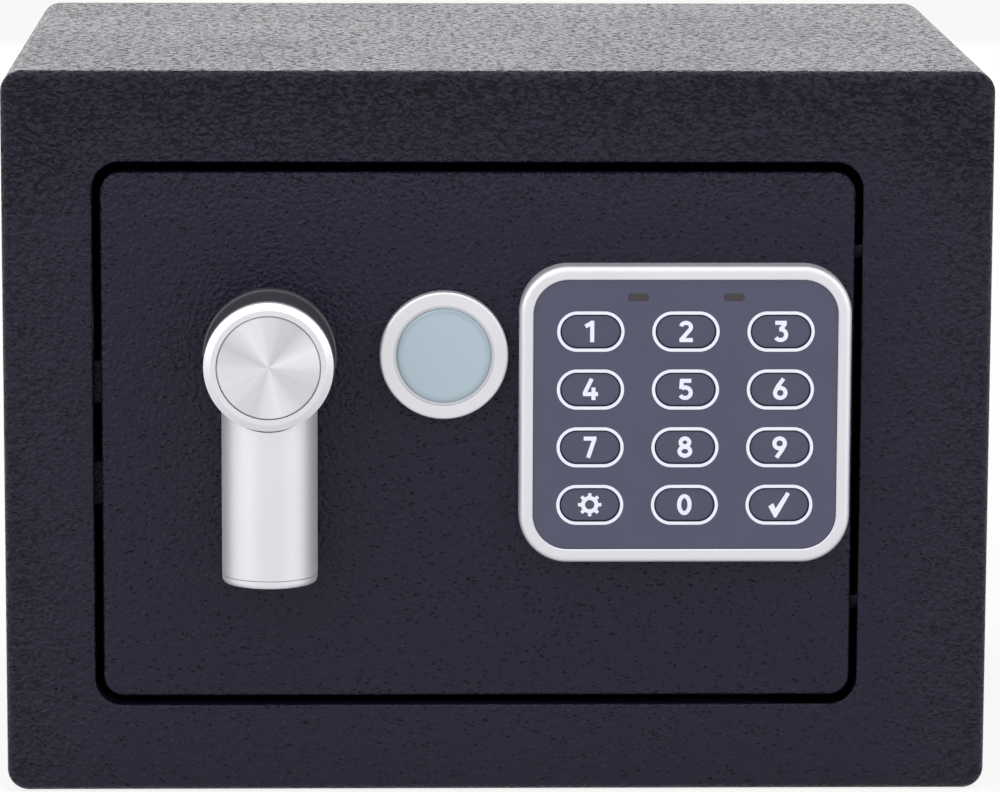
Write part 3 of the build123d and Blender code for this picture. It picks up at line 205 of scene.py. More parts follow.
class Value:
    """A number that varies over a surface; arithmetic on it adds the nodes that work it out."""

    def __init__(self, tree, socket):
        self.tree = tree
        self.socket = socket

    def step(self, operation, other=None, swap=False):
        node = self.tree.nodes.new("ShaderNodeMath")
        node.operation = operation
        items = (other, self) if swap else (self, other)
        for place, item in zip(node.inputs, items):
            if item is not None:
                feed(self.tree, place, item)
        return Value(self.tree, node.outputs[0])

    def __add__(self, other):
        return self.step("ADD", other)

    def __sub__(self, other):
        return self.step("SUBTRACT", other)

    def __rsub__(self, other):
        return self.step("SUBTRACT", other, swap=True)

    def __mul__(self, other):
        return self.step("MULTIPLY", other)

    def __pow__(self, other):
        return self.step("POWER", other)

    def __abs__(self):
        return self.step("ABSOLUTE")

    def __gt__(self, other):
        return self.step("GREATER_THAN", other)

    __radd__ = __add__
    __rmul__ = __mul__

    def clipped(self):
        held = self.step("ADD", 0.0)
        held.socket.node.use_clamp = True
        return held


def feed(tree, place, item):
    """Sets a node's socket to a number or colour, or links a value to it."""
    if isinstance(item, Value):
        tree.links.new(item.socket, place)
    elif isinstance(item, (tuple, list)) and place.type == "RGBA" and len(item) == 3:
        place.default_value = (*item, 1.0)
    else:
        place.default_value = item


class Finish:
    """One surface finish: a Principled shader with the nodes that vary it."""

    def __init__(self, name, colour, roughness, **plain):
        self.material = bpy.data.materials.new(name)
        self.material.use_nodes = True
        self.tree = self.material.node_tree
        self.tree.nodes.clear()
        out = self.tree.nodes.new("ShaderNodeOutputMaterial")
        self.shader = self.tree.nodes.new("ShaderNodeBsdfPrincipled")
        self.tree.links.new(self.shader.outputs[0], out.inputs["Surface"])
        self.give("Base Color", colour)
        self.give("Roughness", roughness)
        for key, value in plain.items():
            self.give(key.replace("_", " ").title().replace("Ior", "IOR"), value)
        self.material.diffuse_color = (*colour, 1.0)

    def give(self, socket, value):
        feed(self.tree, self.shader.inputs[socket], value)

    def node(self, kind, settings=None, sockets=None, out=0):
        made = self.tree.nodes.new(kind)
        for key, value in (settings or {}).items():
            setattr(made, key, value)
        for key, value in (sockets or {}).items():
            feed(self.tree, made.inputs[key], value)
        return Value(self.tree, made.outputs[out])

    def place(self, centre=(0, 0, 0), stretch=(1, 1, 1)):
        where = self.node("ShaderNodeTexCoord", out="Object")
        shift = tuple(-c * s for c, s in zip(centre, stretch))
        return self.node("ShaderNodeMapping", None,
                         {"Vector": where, "Location": shift, "Scale": stretch})

    def axes(self, where):
        split = self.node("ShaderNodeSeparateXYZ", None, {"Vector": where}).socket.node
        return [Value(self.tree, socket) for socket in split.outputs]

    def noise(self, where, size_mm, detail=2.0, rough=0.5):
        return self.node("ShaderNodeTexNoise", None,
                         {"Vector": where, "Scale": 1.0 / (size_mm * MM), "Detail": detail,
                          "Roughness": rough}, out="Fac")

    def cells(self, where, size_mm, smooth=None):
        """Distance to the nearest of scattered points, rounded off where smooth is given."""
        sockets = {"Vector": where, "Scale": 1.0 / (size_mm * MM)}
        if smooth is not None:
            sockets["Smoothness"] = smooth
        feature = "F1" if smooth is None else "SMOOTH_F1"
        return self.node("ShaderNodeTexVoronoi", {"feature": feature}, sockets, out="Distance")

    def noise_vector(self, where, size_mm, reach_mm):
        """A wandering shift of up to reach_mm, to bend a pattern."""
        colour = self.node("ShaderNodeTexNoise", None,
                           {"Vector": where, "Scale": 1.0 / (size_mm * MM), "Detail": 1.0},
                           out="Color")
        centred = self.node("ShaderNodeVectorMath", {"operation": "SUBTRACT"},
                            {0: colour, 1: (0.5, 0.5, 0.5)})
        return self.node("ShaderNodeVectorMath", {"operation": "SCALE"},
                         {0: centred, "Scale": 2.0 * reach_mm * MM})

    def add(self, first, second):
        return self.node("ShaderNodeVectorMath", {"operation": "ADD"}, {0: first, 1: second})

    def spread(self, value, low, high):
        """Stretches the span from low to high over 0 to 1."""
        return self.node("ShaderNodeMapRange", {"clamp": True},
                         {"Value": value, "From Min": low, "From Max": high})

    def mix(self, factor, first, second):
        made = self.tree.nodes.new("ShaderNodeMix")
        made.data_type = "RGBA"
        feed(self.tree, made.inputs[0], factor)
        feed(self.tree, made.inputs[6], first)
        feed(self.tree, made.inputs[7], second)
        return Value(self.tree, made.outputs[2])

    def bump(self, height, depth_mm, strength=1.0):
        self.give("Normal", self.node("ShaderNodeBump", None, {
            "Height": height, "Distance": depth_mm * MM, "Strength": strength}))


def shade(colour, by):
    """A colour made lighter or darker."""
    return tuple(max(0.0, min(1.0, c * by)) for c in colour)


# Finishes

def powder_coat(sizes, colours):
    """Textured coat: soft lumps, small pits and short creases, with painted shade darkening the pits and
    creases; the relief and the creases grow towards the top and the sides.
    """
    finish = Finish("textured_powder_coat", tuple(colours.coat), 0.4, specular_ior_level=0.2,
                    specular_tint=(0.90, 0.90, 1.0, 1.0), coat_roughness=0.3,
                    coat_tint=(0.93, 0.92, 1.0, 1.0))
    high = CAD_BOX[1]
    plain = finish.place()
    grain = sizes.coat_grain
    across, _, up = finish.axes(plain)
    side = finish.spread(abs(across), high.x - 26 * MM, high.x - 2 * MM)
    brow = finish.spread(up, high.z - 36 * MM, high.z - 6 * MM)
    near_top_and_sides = (side * 0.6 + brow).clipped()
    swirl = finish.noise_vector(plain, grain * 1.6, grain * 0.6)
    lumps = finish.cells(finish.add(plain, swirl), grain * 0.8, smooth=0.4)
    lying = finish.add(finish.place(stretch=(0.6, 0.8, 1.25)), swirl)
    spots = finish.cells(lying, grain * 0.75)
    some = finish.spread(finish.noise(plain, grain * 1.7, 2.0), 0.42, 0.55)
    pits = (1 - finish.spread(spots, 0.10, 0.26)) * some
    folds = finish.noise(lying, grain * 0.6, 1.5, 0.4)
    creases = (1 - finish.spread(folds - near_top_and_sides * 0.14, 0.24, 0.34)) * (near_top_and_sides * 0.55 + 0.25)
    # Painted shade: the pits and creases, sunk in the bump, are darkened in the colour as well
    dark = 1 - (1 - pits) * (1 - creases)
    fine = finish.noise(plain, grain * 0.35, 2.0, 0.6)
    height = ((1 - lumps) * 0.8 + fine * 0.35) * (0.5 + near_top_and_sides * 1.1) - dark * 0.9
    finish.bump(height, sizes.coat_relief)
    worn = finish.spread(finish.noise(plain, 60.0, 3.0), 0.35, 0.75)
    finish.give("Roughness", 0.26 + worn * 0.05 + fine * 0.1 + dark * 0.4)
    finish.give("Coat Weight", (1 - dark) * (0.03 + fine * 0.14))
    # Painted shade in the pits and creases
    finish.give("Base Color", finish.mix(dark, tuple(colours.coat), shade(colours.coat, 0.15)))
    return finish.material


def satin_silver(colours):
    """Plated metal with a fine blasted grain."""
    finish = Finish("satin_silver", tuple(colours.silver), 0.4, metallic=0.62)
    where = finish.place()
    grain = finish.noise(where, 0.16, 2.0, 0.6)
    cloud = finish.noise(where, 14.0, 2.0)
    finish.bump(grain, 0.004, 0.6)
    finish.give("Roughness", 0.35 + cloud * 0.08 + grain * 0.05)
    finish.give("Base Color", finish.mix(cloud, shade(colours.silver, 0.96),
                                         shade(colours.silver, 1.03)))
    return finish.material


def spun_metal(colours):
    """The disc on the handle, turned, with fine grooves in its bump and soft wedges of highlight painted
    into its colour.
    """
    low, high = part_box("handle_disc")
    middle = (low + high) / 2
    finish = Finish("spun_disc", tuple(colours.silver), 0.34, metallic=1.0)
    where = finish.place(tuple(middle))
    across, _, up = finish.axes(where)
    reach = (across ** 2 + up ** 2) ** 0.5
    ring = finish.node("ShaderNodeCombineXYZ", None, {"X": reach})
    coarse = finish.noise(ring, 0.30, 3.0, 0.7)
    grooves = finish.noise(ring, 0.10, 2.0, 0.6)
    finish.bump(grooves * 0.5 + coarse * 0.6, 0.05)
    # Painted highlight: lighter and darker wedges round the disc's middle, painted into its colour and
    # fixed to the disc
    turn = finish.node("ShaderNodeMath", {"operation": "ARCTAN2"}, {0: up, 1: across})
    waves = [finish.node("ShaderNodeMath", {"operation": "COSINE"}, {0: turn * count - start})
             for count, start in ((4, 1.2), (3, 0.4), (7, 2.6), (18, 0.7))]
    painted_highlight_wedges = waves[0] * 0.28 + waves[1] * 0.12 + waves[2] * 0.07 + waves[3] * 0.04
    light = (painted_highlight_wedges + 0.5 + (coarse - 0.5) * 0.35).clipped()
    # The painted highlight goes into the colour, from darker to lighter silver
    finish.give("Base Color", finish.mix(light, shade(colours.silver, 0.80),
                                         shade(colours.silver, 1.22)))
    return finish.material


def dark_hub(colours):
    """Smooth dark plastic of the handle's body."""
    finish = Finish("dark_hub", tuple(colours.hub), 0.3, specular_ior_level=0.5)
    where = finish.place()
    grain = finish.noise(where, 0.35, 3.0)
    cloud = finish.noise(where, 9.0, 2.0)
    finish.bump(grain, 0.006, 0.5)
    finish.give("Roughness", 0.3 + cloud * 0.1)
    return finish.material


def overlay(colour, name):
    """The matt printed face of the keypad."""
    finish = Finish(name, tuple(colour), 0.42, specular_ior_level=0.4)
    where = finish.place()
    stipple = finish.noise(where, 0.22, 2.0, 0.65)
    cloud = finish.noise(where, 18.0, 2.0)
    finish.bump(stipple, 0.006, 0.6)
    finish.give("Base Color", finish.mix(cloud, shade(colour, 0.93), shade(colour, 1.07)))
    finish.give("Roughness", 0.42 + stipple * 0.08)
    return finish.material


def ink(colours):
    """White screen print."""
    finish = Finish("white_print", tuple(colours.ink), 0.5, specular_ior_level=0.3)
    where = finish.place()
    mottle = finish.noise(where, 0.4, 2.0)
    finish.give("Base Color", finish.mix(mottle, shade(colours.ink, 0.95), tuple(colours.ink)))
    finish.give("Roughness", 0.45 + mottle * 0.12)
    return finish.material


def domed_label(colours):
    """The clear-coated label on the round cap."""
    low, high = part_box("badge_label")
    middle = (low + high) / 2
    finish = Finish("domed_label", tuple(colours.label), 0.16, coat_weight=0.7, coat_roughness=0.06)
    where = finish.place(tuple(middle))
    across, _, up = finish.axes(where)
    reach = (across ** 2 + up ** 2) ** 0.5
    flat_r, edge_r = 9.4 * MM, 11.0 * MM
    # Painted shade: the label's colour darkens towards the rounded rim of its dome
    rim = finish.spread(reach, flat_r, edge_r)
    cloud = finish.noise(where, 7.0, 2.0)
    finish.give("Base Color", finish.mix(rim, tuple(colours.label), shade(colours.label, 0.72)))
    finish.give("Roughness", 0.12 + cloud * 0.1)
    return finish.material


def smoked_window():
    """The dark windows over the two lamps."""
    finish = Finish("smoked_window", (0.035, 0.026, 0.028), 0.25, specular_ior_level=0.5)
    where = finish.place()
    haze = finish.noise(where, 1.2, 2.0)
    finish.give("Base Color", finish.mix(haze, (0.028, 0.021, 0.023), (0.045, 0.034, 0.036)))
    finish.give("Roughness", 0.2 + haze * 0.12)
    return finish.material


def zinc_plate():
    """Folded sheet with bright zinc plating."""
    base = (0.56, 0.57, 0.60)
    finish = Finish("zinc_plate", base, 0.34, metallic=1.0)
    where = finish.place()
    spangle = finish.cells(where, 5.0)
    streak = finish.noise(finish.place(stretch=(1.0, 1.0, 9.0)), 1.6, 3.0)
    finish.bump(streak, 0.02, 0.4)
    finish.give("Base Color", finish.mix(spangle, shade(base, 0.88), shade(base, 1.1)))
    finish.give("Roughness", 0.28 + streak * 0.14)
    return finish.material


def turned_steel():
    """Round bar with fine turning marks."""
    base = (0.62, 0.62, 0.63)
    finish = Finish("turned_steel", base, 0.25, metallic=1.0)
    where = finish.place(stretch=(6.0, 1.0, 1.0))
    marks = finish.noise(where, 0.9, 3.0)
    finish.bump(marks, 0.012, 0.5)
    finish.give("Base Color", finish.mix(marks, shade(base, 0.9), shade(base, 1.08)))
    finish.give("Roughness", 0.2 + marks * 0.14)
    return finish.material


def brass():
    """Turned brass of the bush and the lock's plug."""
    base = (0.62, 0.44, 0.17)
    finish = Finish("brass", base, 0.28, metallic=1.0)
    where = finish.place()
    tarnish = finish.noise(where, 3.0, 3.0)
    finish.give("Base Color", finish.mix(tarnish, shade(base, 0.8), shade(base, 1.1)))
    finish.give("Roughness", 0.22 + tarnish * 0.16)
    return finish.material


def moulded_black():
    """Moulded plastic with a spark-eroded grain."""
    base = (0.018, 0.018, 0.02)
    finish = Finish("moulded_black", base, 0.5, specular_ior_level=0.4)
    where = finish.place()
    grain = finish.noise(where, 0.45, 3.0, 0.6)
    cloud = finish.noise(where, 30.0, 2.0)
    finish.bump(grain, 0.03, 0.7)
    finish.give("Base Color", finish.mix(cloud, shade(base, 0.85), shade(base, 1.2)))
    finish.give("Roughness", 0.42 + grain * 0.14)
    return finish.material


def circuit_board():
    """Green solder mask over copper tracks that wander across the board."""
    green, track_green = (0.02, 0.13, 0.05), (0.05, 0.24, 0.09)
    lane_step, track_from, track_to, sway = 0.9 * MM, 0.5 * MM, 0.56 * MM, 4 * MM
    finish = Finish("circuit_board", green, 0.3, specular_ior_level=0.5)
    where = finish.place()
    _, _, up = finish.axes(where)
    wander = finish.noise(where, 6.0, 1.0)
    lane = finish.node("ShaderNodeMath", {"operation": "PINGPONG"}, {0: up + wander * sway,
                                                                     1: lane_step})
    track = finish.spread(lane, track_from, track_to)
    block = finish.noise(where, 9.0, 1.0) > 0.5
    finish.give("Base Color", finish.mix(track * block, green, track_green))
    finish.bump(track * block, 0.03, 0.6)
    return finish.material


def coil_tape():
    """Amber tape round the solenoid's winding."""
    base = (0.50, 0.30, 0.04)
    finish = Finish("coil_tape", base, 0.3, specular_ior_level=0.5)
    turns = finish.noise(finish.place(stretch=(0.1, 0.1, 1.0)), 0.5, 2.0)
    finish.bump(turns, 0.05, 0.7)
    finish.give("Base Color", finish.mix(turns, shade(base, 0.7), shade(base, 1.15)))
    return finish.material


def cell_sleeve():
    """Battery sleeves: dark, with a copper band at one end and bare steel caps."""
    low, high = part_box("batteries")
    dark, copper, steel = (0.02, 0.02, 0.024), (0.45, 0.20, 0.07), (0.6, 0.6, 0.6)
    sleeve_half, band_from = 24.6 * MM, 12 * MM
    finish = Finish("cell_sleeve", dark, 0.28, coat_weight=0.3)
    _, _, up = finish.axes(finish.place())
    middle = (low.z + high.z) / 2
    reach = abs(up - middle)
    cap = reach > sleeve_half
    band = (up > middle + band_from) * (1 - cap)
    colour = finish.mix(band, dark, copper)
    finish.give("Base Color", finish.mix(cap, colour, steel))
    finish.give("Metallic", (cap + band * 0.6).clipped())
    return finish.material


def wire_jacket():
    """Red insulation."""
    base = (0.42, 0.02, 0.02)
    finish = Finish("wire_jacket", base, 0.35, specular_ior_level=0.5)
    cloud = finish.noise(finish.place(), 4.0, 2.0)
    finish.give("Base Color", finish.mix(cloud, shade(base, 0.8), shade(base, 1.15)))
    finish.give("Roughness", 0.3 + cloud * 0.1)
    return finish.material


def felt_cloth(colours):
    """Short matted fibres."""
    finish = Finish("felt_cloth", tuple(colours.felt), 0.95, specular_ior_level=0.1)
    where = finish.place()
    fibres = finish.noise(where, 0.35, 5.0, 0.75)
    tufts = finish.noise(where, 2.6, 4.0, 0.6)
    finish.bump(fibres * 0.6 + tufts, 0.5)
    finish.give("Base Color", finish.mix(fibres, shade(colours.felt, 0.6),
                                         shade(colours.felt, 1.9)))
    return finish.material


# Modelling helpers

def only(piece):
    """Selects one piece and nothing else."""
    if bpy.context.object and bpy.context.object.mode != "OBJECT":
        bpy.ops.object.mode_set(mode="OBJECT")
    bpy.ops.object.select_all(action="DESELECT")
    piece.select_set(True)
    bpy.context.view_layer.objects.active = piece


def settle(piece):
    """Applies a piece's place to its mesh, so that its object sits at the origin."""
    only(piece)
    bpy.ops.object.transform_apply(location=True, rotation=True, scale=True)


def apply_all(piece):
    """Applies every modifier on a piece, first to last."""
    only(piece)
    for name in [m.name for m in piece.modifiers]:
        bpy.ops.object.modifier_apply(modifier=name)


def paint(piece, material):
    """Gives a piece one finish all over."""
    piece.data.materials.clear()
    piece.data.materials.append(material)


def paint_nodes(names, material):
    """Gives carried-over pieces a better finish."""
    for name in names:
        node = frame["nodes"][name]
        for place in node.material_slots:
            place.material = material


def finished_copy(name, material, angle=32.0):
    """A copy of a piece with its corners joined and its curves smooth, in the same place."""
    source = frame["nodes"][name]
    piece = bpy.data.objects.new(name + "_smooth", source.data.copy())
    bpy.context.scene.collection.objects.link(piece)
    only(piece)
    bpy.ops.object.mode_set(mode="EDIT")
    bpy.ops.mesh.select_all(action="SELECT")
    bpy.ops.mesh.remove_doubles(threshold=0.000002)
    bpy.ops.mesh.customdata_custom_splitnormals_clear()
    bpy.ops.object.mode_set(mode="OBJECT")
    bpy.ops.object.shade_smooth_by_angle(angle=math.radians(angle))
    paint(piece, material)
    body = source["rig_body"]
    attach(piece, body)
    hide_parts(name)
    return piece


def own(name):
    """The object that was just made, under its own name."""
    piece = bpy.context.object
    piece.name = name
    piece.data.name = name
    return piece


def flat_to_front(piece, centre):
    """Stands a flat shape up to face the front, at a place."""
    piece.rotation_euler = (math.radians(90), 0, 0)
    piece.location = centre
    settle(piece)


def key_centre(name):
    """The middle of a key's face."""
    low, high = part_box(name)
    return Vector(((low.x + high.x) / 2, low.y, (low.z + high.z) / 2))


# Operators, one for each group of pieces

class SAFE_OT_stage(bpy.types.Operator):
    """Floor, surround, lamps and camera"""
    bl_idname = "safe.stage"
    bl_label = "Stage"

    def execute(self, context):
        light = context.scene.safe_stage
        scene = context.scene
        scene.view_settings.view_transform = "Standard"
        self.surround(scene, light)
        self.floor(light)
        self.lamps(light)
        self.camera(scene)
        return {"FINISHED"}

    def surround(self, scene, light):
        world = bpy.data.worlds.new("pale_surround")
        scene.world = world
        world.use_nodes = True
        tree = world.node_tree
        tree.nodes.clear()
        out = tree.nodes.new("ShaderNodeOutputWorld")
        glow = tree.nodes.new("ShaderNodeBackground")
        white = tree.nodes.new("ShaderNodeBackground")
        mix = tree.nodes.new("ShaderNodeMixShader")
        glow.inputs["Color"].default_value = (1.0, 1.0, 1.0, 1.0)
        glow.inputs["Strength"].default_value = light.sky
        white.inputs["Color"].default_value = (1.0, 1.0, 1.0, 1.0)
        white.inputs["Strength"].default_value = 1.0
        tree.links.new(self.seen_directly(tree, 1.0), mix.inputs[0])
        tree.links.new(glow.outputs[0], mix.inputs[1])
        tree.links.new(white.outputs[0], mix.inputs[2])
        tree.links.new(mix.outputs[0], out.inputs["Surface"])

    def floor(self, light):
        bpy.ops.mesh.primitive_plane_add(size=8.0, location=(0, 0, 0))
        floor = own("floor")
        floor.location.z = -0.0002
        material = bpy.data.materials.new("pale_floor")
        material.use_nodes = True
        tree = material.node_tree
        tree.nodes.clear()
        out = tree.nodes.new("ShaderNodeOutputMaterial")
        matt = tree.nodes.new("ShaderNodeBsdfDiffuse")
        white = tree.nodes.new("ShaderNodeEmission")
        mix = tree.nodes.new("ShaderNodeMixShader")
        matt.inputs["Color"].default_value = (*light.floor, 1.0)
        white.inputs["Color"].default_value = (1.0, 1.0, 1.0, 1.0)
        tree.links.new(self.seen_directly(tree, light.glow), mix.inputs[0])
        tree.links.new(matt.outputs[0], mix.inputs[1])
        tree.links.new(white.outputs[0], mix.inputs[2])
        tree.links.new(mix.outputs[0], out.inputs["Surface"])
        paint(floor, material)
        settle(floor)

    def seen_directly(self, tree, share):
        """A share for camera rays, reflections and what is seen through glass, and none for the rest."""
        rays = tree.nodes.new("ShaderNodeLightPath")
        camera, glossy, through = (Value(tree, rays.outputs[kind]) for kind in (
            "Is Camera Ray", "Is Glossy Ray", "Is Transmission Ray"))
        return ((camera + glossy + through).clipped() * share).socket

    def lamp(self, name, place, aim, size, power):
        data = bpy.data.lights.new(name, "AREA")
        data.shape = "RECTANGLE"
        data.size, data.size_y = size
        data.energy = power
        lamp = bpy.data.objects.new(name, data)
        bpy.context.scene.collection.objects.link(lamp)
        lamp.location = place
        lamp.rotation_euler = (Vector(aim) - Vector(place)).to_track_quat("-Z", "Y").to_euler()
        lamp.visible_camera = False

    def lamps(self, light):
        power = light.lamp
        middle = (0, 0, 0.09)
        self.lamp("overhead", (0, -0.25, 1.2), middle, (1.6, 1.0), 7.0 * power)
        self.lamp("left_soft", (-1.1, -0.75, 0.55), middle, (1.0, 1.2), 5.0 * power)
        self.lamp("right_soft", (1.15, -0.75, 0.5), middle, (1.0, 1.2), 4.5 * power)
        self.lamp("key", (-0.55, -1.5, 1.15), middle, (0.7, 0.5), 3.0 * power)
        self.lamp("backdrop", (0, 1.6, 0.45), (0, 0, 0.17), (2.6, 0.8), 10.0 * power)

    def camera(self, scene):
        yaw, pitch, roll = (math.radians(a) for a in (CAMERA_YAW, CAMERA_PITCH, CAMERA_ROLL))
        ahead = Vector((math.sin(yaw) * math.cos(pitch), math.cos(yaw) * math.cos(pitch),
                        -math.sin(pitch)))
        right = Vector((math.cos(yaw), -math.sin(yaw), 0.0))
        up = right.cross(ahead)
        side = math.cos(roll) * right + math.sin(roll) * up
        top = math.cos(roll) * up - math.sin(roll) * right
        data = bpy.data.cameras.new("camera")
        data.sensor_width = SENSOR_MM
        data.lens = FOCAL_PX / PHOTO_WIDTH_PX * SENSOR_MM
        data.clip_start = 0.01
        camera = bpy.data.objects.new("camera", data)
        scene.collection.objects.link(camera)
        turn = Matrix((side, top, -ahead)).transposed().to_4x4()
        camera.matrix_world = Matrix.Translation(CAMERA_PLACE) @ turn
        scene.camera = camera


class SAFE_OT_cabinet(bpy.types.Operator):
    """The coated cabinet and door"""
    bl_idname = "safe.cabinet"
    bl_label = "Cabinet and door"

    def execute(self, context):
        coat = powder_coat(context.scene.safe_sizes, context.scene.safe_colours)
        for name in COATED:
            finished_copy(name, coat)
        return {"FINISHED"}


class SAFE_OT_felt(bpy.types.Operator):
    """The felt pad on the cabinet's floor"""
    bl_idname = "safe.felt"
    bl_label = "Floor felt"

    def execute(self, context):
        corner_r, anchor_x = 4 * MM, 60 * MM
        low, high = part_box("floor_liner")
        middle, size = (low + high) / 2, high - low
        bpy.ops.mesh.primitive_cube_add(size=1.0, location=middle, scale=size)
        pad = own("felt_pad")
        settle(pad)
        bpy.ops.object.mode_set(mode="EDIT")
        bpy.ops.mesh.select_mode(type="EDGE")
        bpy.ops.mesh.select_all(action="DESELECT")
        bpy.ops.object.mode_set(mode="OBJECT")
        for edge in pad.data.edges:
            a, b = (pad.data.vertices[i].co for i in edge.vertices)
            edge.select = abs(a.z - b.z) > size.z / 2
        bpy.ops.object.mode_set(mode="EDIT")
        bpy.ops.mesh.bevel(offset=corner_r, segments=8, affect="EDGES")
        bpy.ops.object.mode_set(mode="OBJECT")
        for side in (-1, 1):
            self.anchor_hole(pad, side * anchor_x, middle.z, size.z)
        rounding = pad.modifiers.new("soft_edge", "BEVEL")
        rounding.width = 0.7 * MM
        rounding.segments = 3
        rounding.limit_method = "ANGLE"
        apply_all(pad)
        only(pad)
        bpy.ops.object.shade_smooth_by_angle(angle=math.radians(40))
        paint(pad, felt_cloth(context.scene.safe_colours))
        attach(pad, "cabinet")
        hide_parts("floor_liner")
        return {"FINISHED"}

    def anchor_hole(self, pad, x, z, thick):
        """Cuts the hole over one of the base's anchors."""
        hole_r = 6.5 * MM
        bpy.ops.mesh.primitive_cylinder_add(vertices=48, radius=hole_r, depth=thick * 3,
                                            location=(x, 0, z))
        cutter = own("anchor_cutter")
        settle(cutter)
        cut = pad.modifiers.new("anchor_hole", "BOOLEAN")
        cut.operation = "DIFFERENCE"
        cut.object = cutter
        cut.solver = "EXACT"
        only(pad)
        bpy.ops.object.mode_set(mode="EDIT")
        bpy.ops.mesh.select_all(action="SELECT")
        bpy.ops.mesh.normals_make_consistent(inside=False)
        bpy.ops.object.mode_set(mode="OBJECT")
        bpy.ops.object.modifier_apply(modifier=cut.name)
        bpy.data.objects.remove(cutter)


class SAFE_OT_handle(bpy.types.Operator):
    """The lever handle"""
    bl_idname = "safe.handle"
    bl_label = "Handle"

    def execute(self, context):
        colours = context.scene.safe_colours
        silver = satin_silver(colours)
        for name in SILVERED:
            finished_copy(name, silver)
        finished_copy("handle_disc", spun_metal(colours))
        hub = dark_hub(colours)
        finished_copy("handle_hub", hub)
        finished_copy("handle_collar", hub)
        return {"FINISHED"}


class SAFE_OT_badge(bpy.types.Operator):
    """The domed label on the round cap"""
    bl_idname = "safe.badge"
    bl_label = "Cap label"

    def execute(self, context):
        finished_copy("badge_label", domed_label(context.scene.safe_colours), 60.0)
        return {"FINISHED"}


class SAFE_OT_keypad(bpy.types.Operator):
    """The keypad's face, keys and windows"""
    bl_idname = "safe.keypad"
    bl_label = "Keypad"

    def execute(self, context):
        colours = context.scene.safe_colours
        finished_copy("keypad_panel", overlay(colours.panel, "keypad_overlay"))
        face = overlay(colours.keys, "key_face")
        for name in frame["nodes"]:
            if name.startswith("key_"):
                finished_copy(name, face)
        finished_copy("indicator_windows", smoked_window())
        return {"FINISHED"}


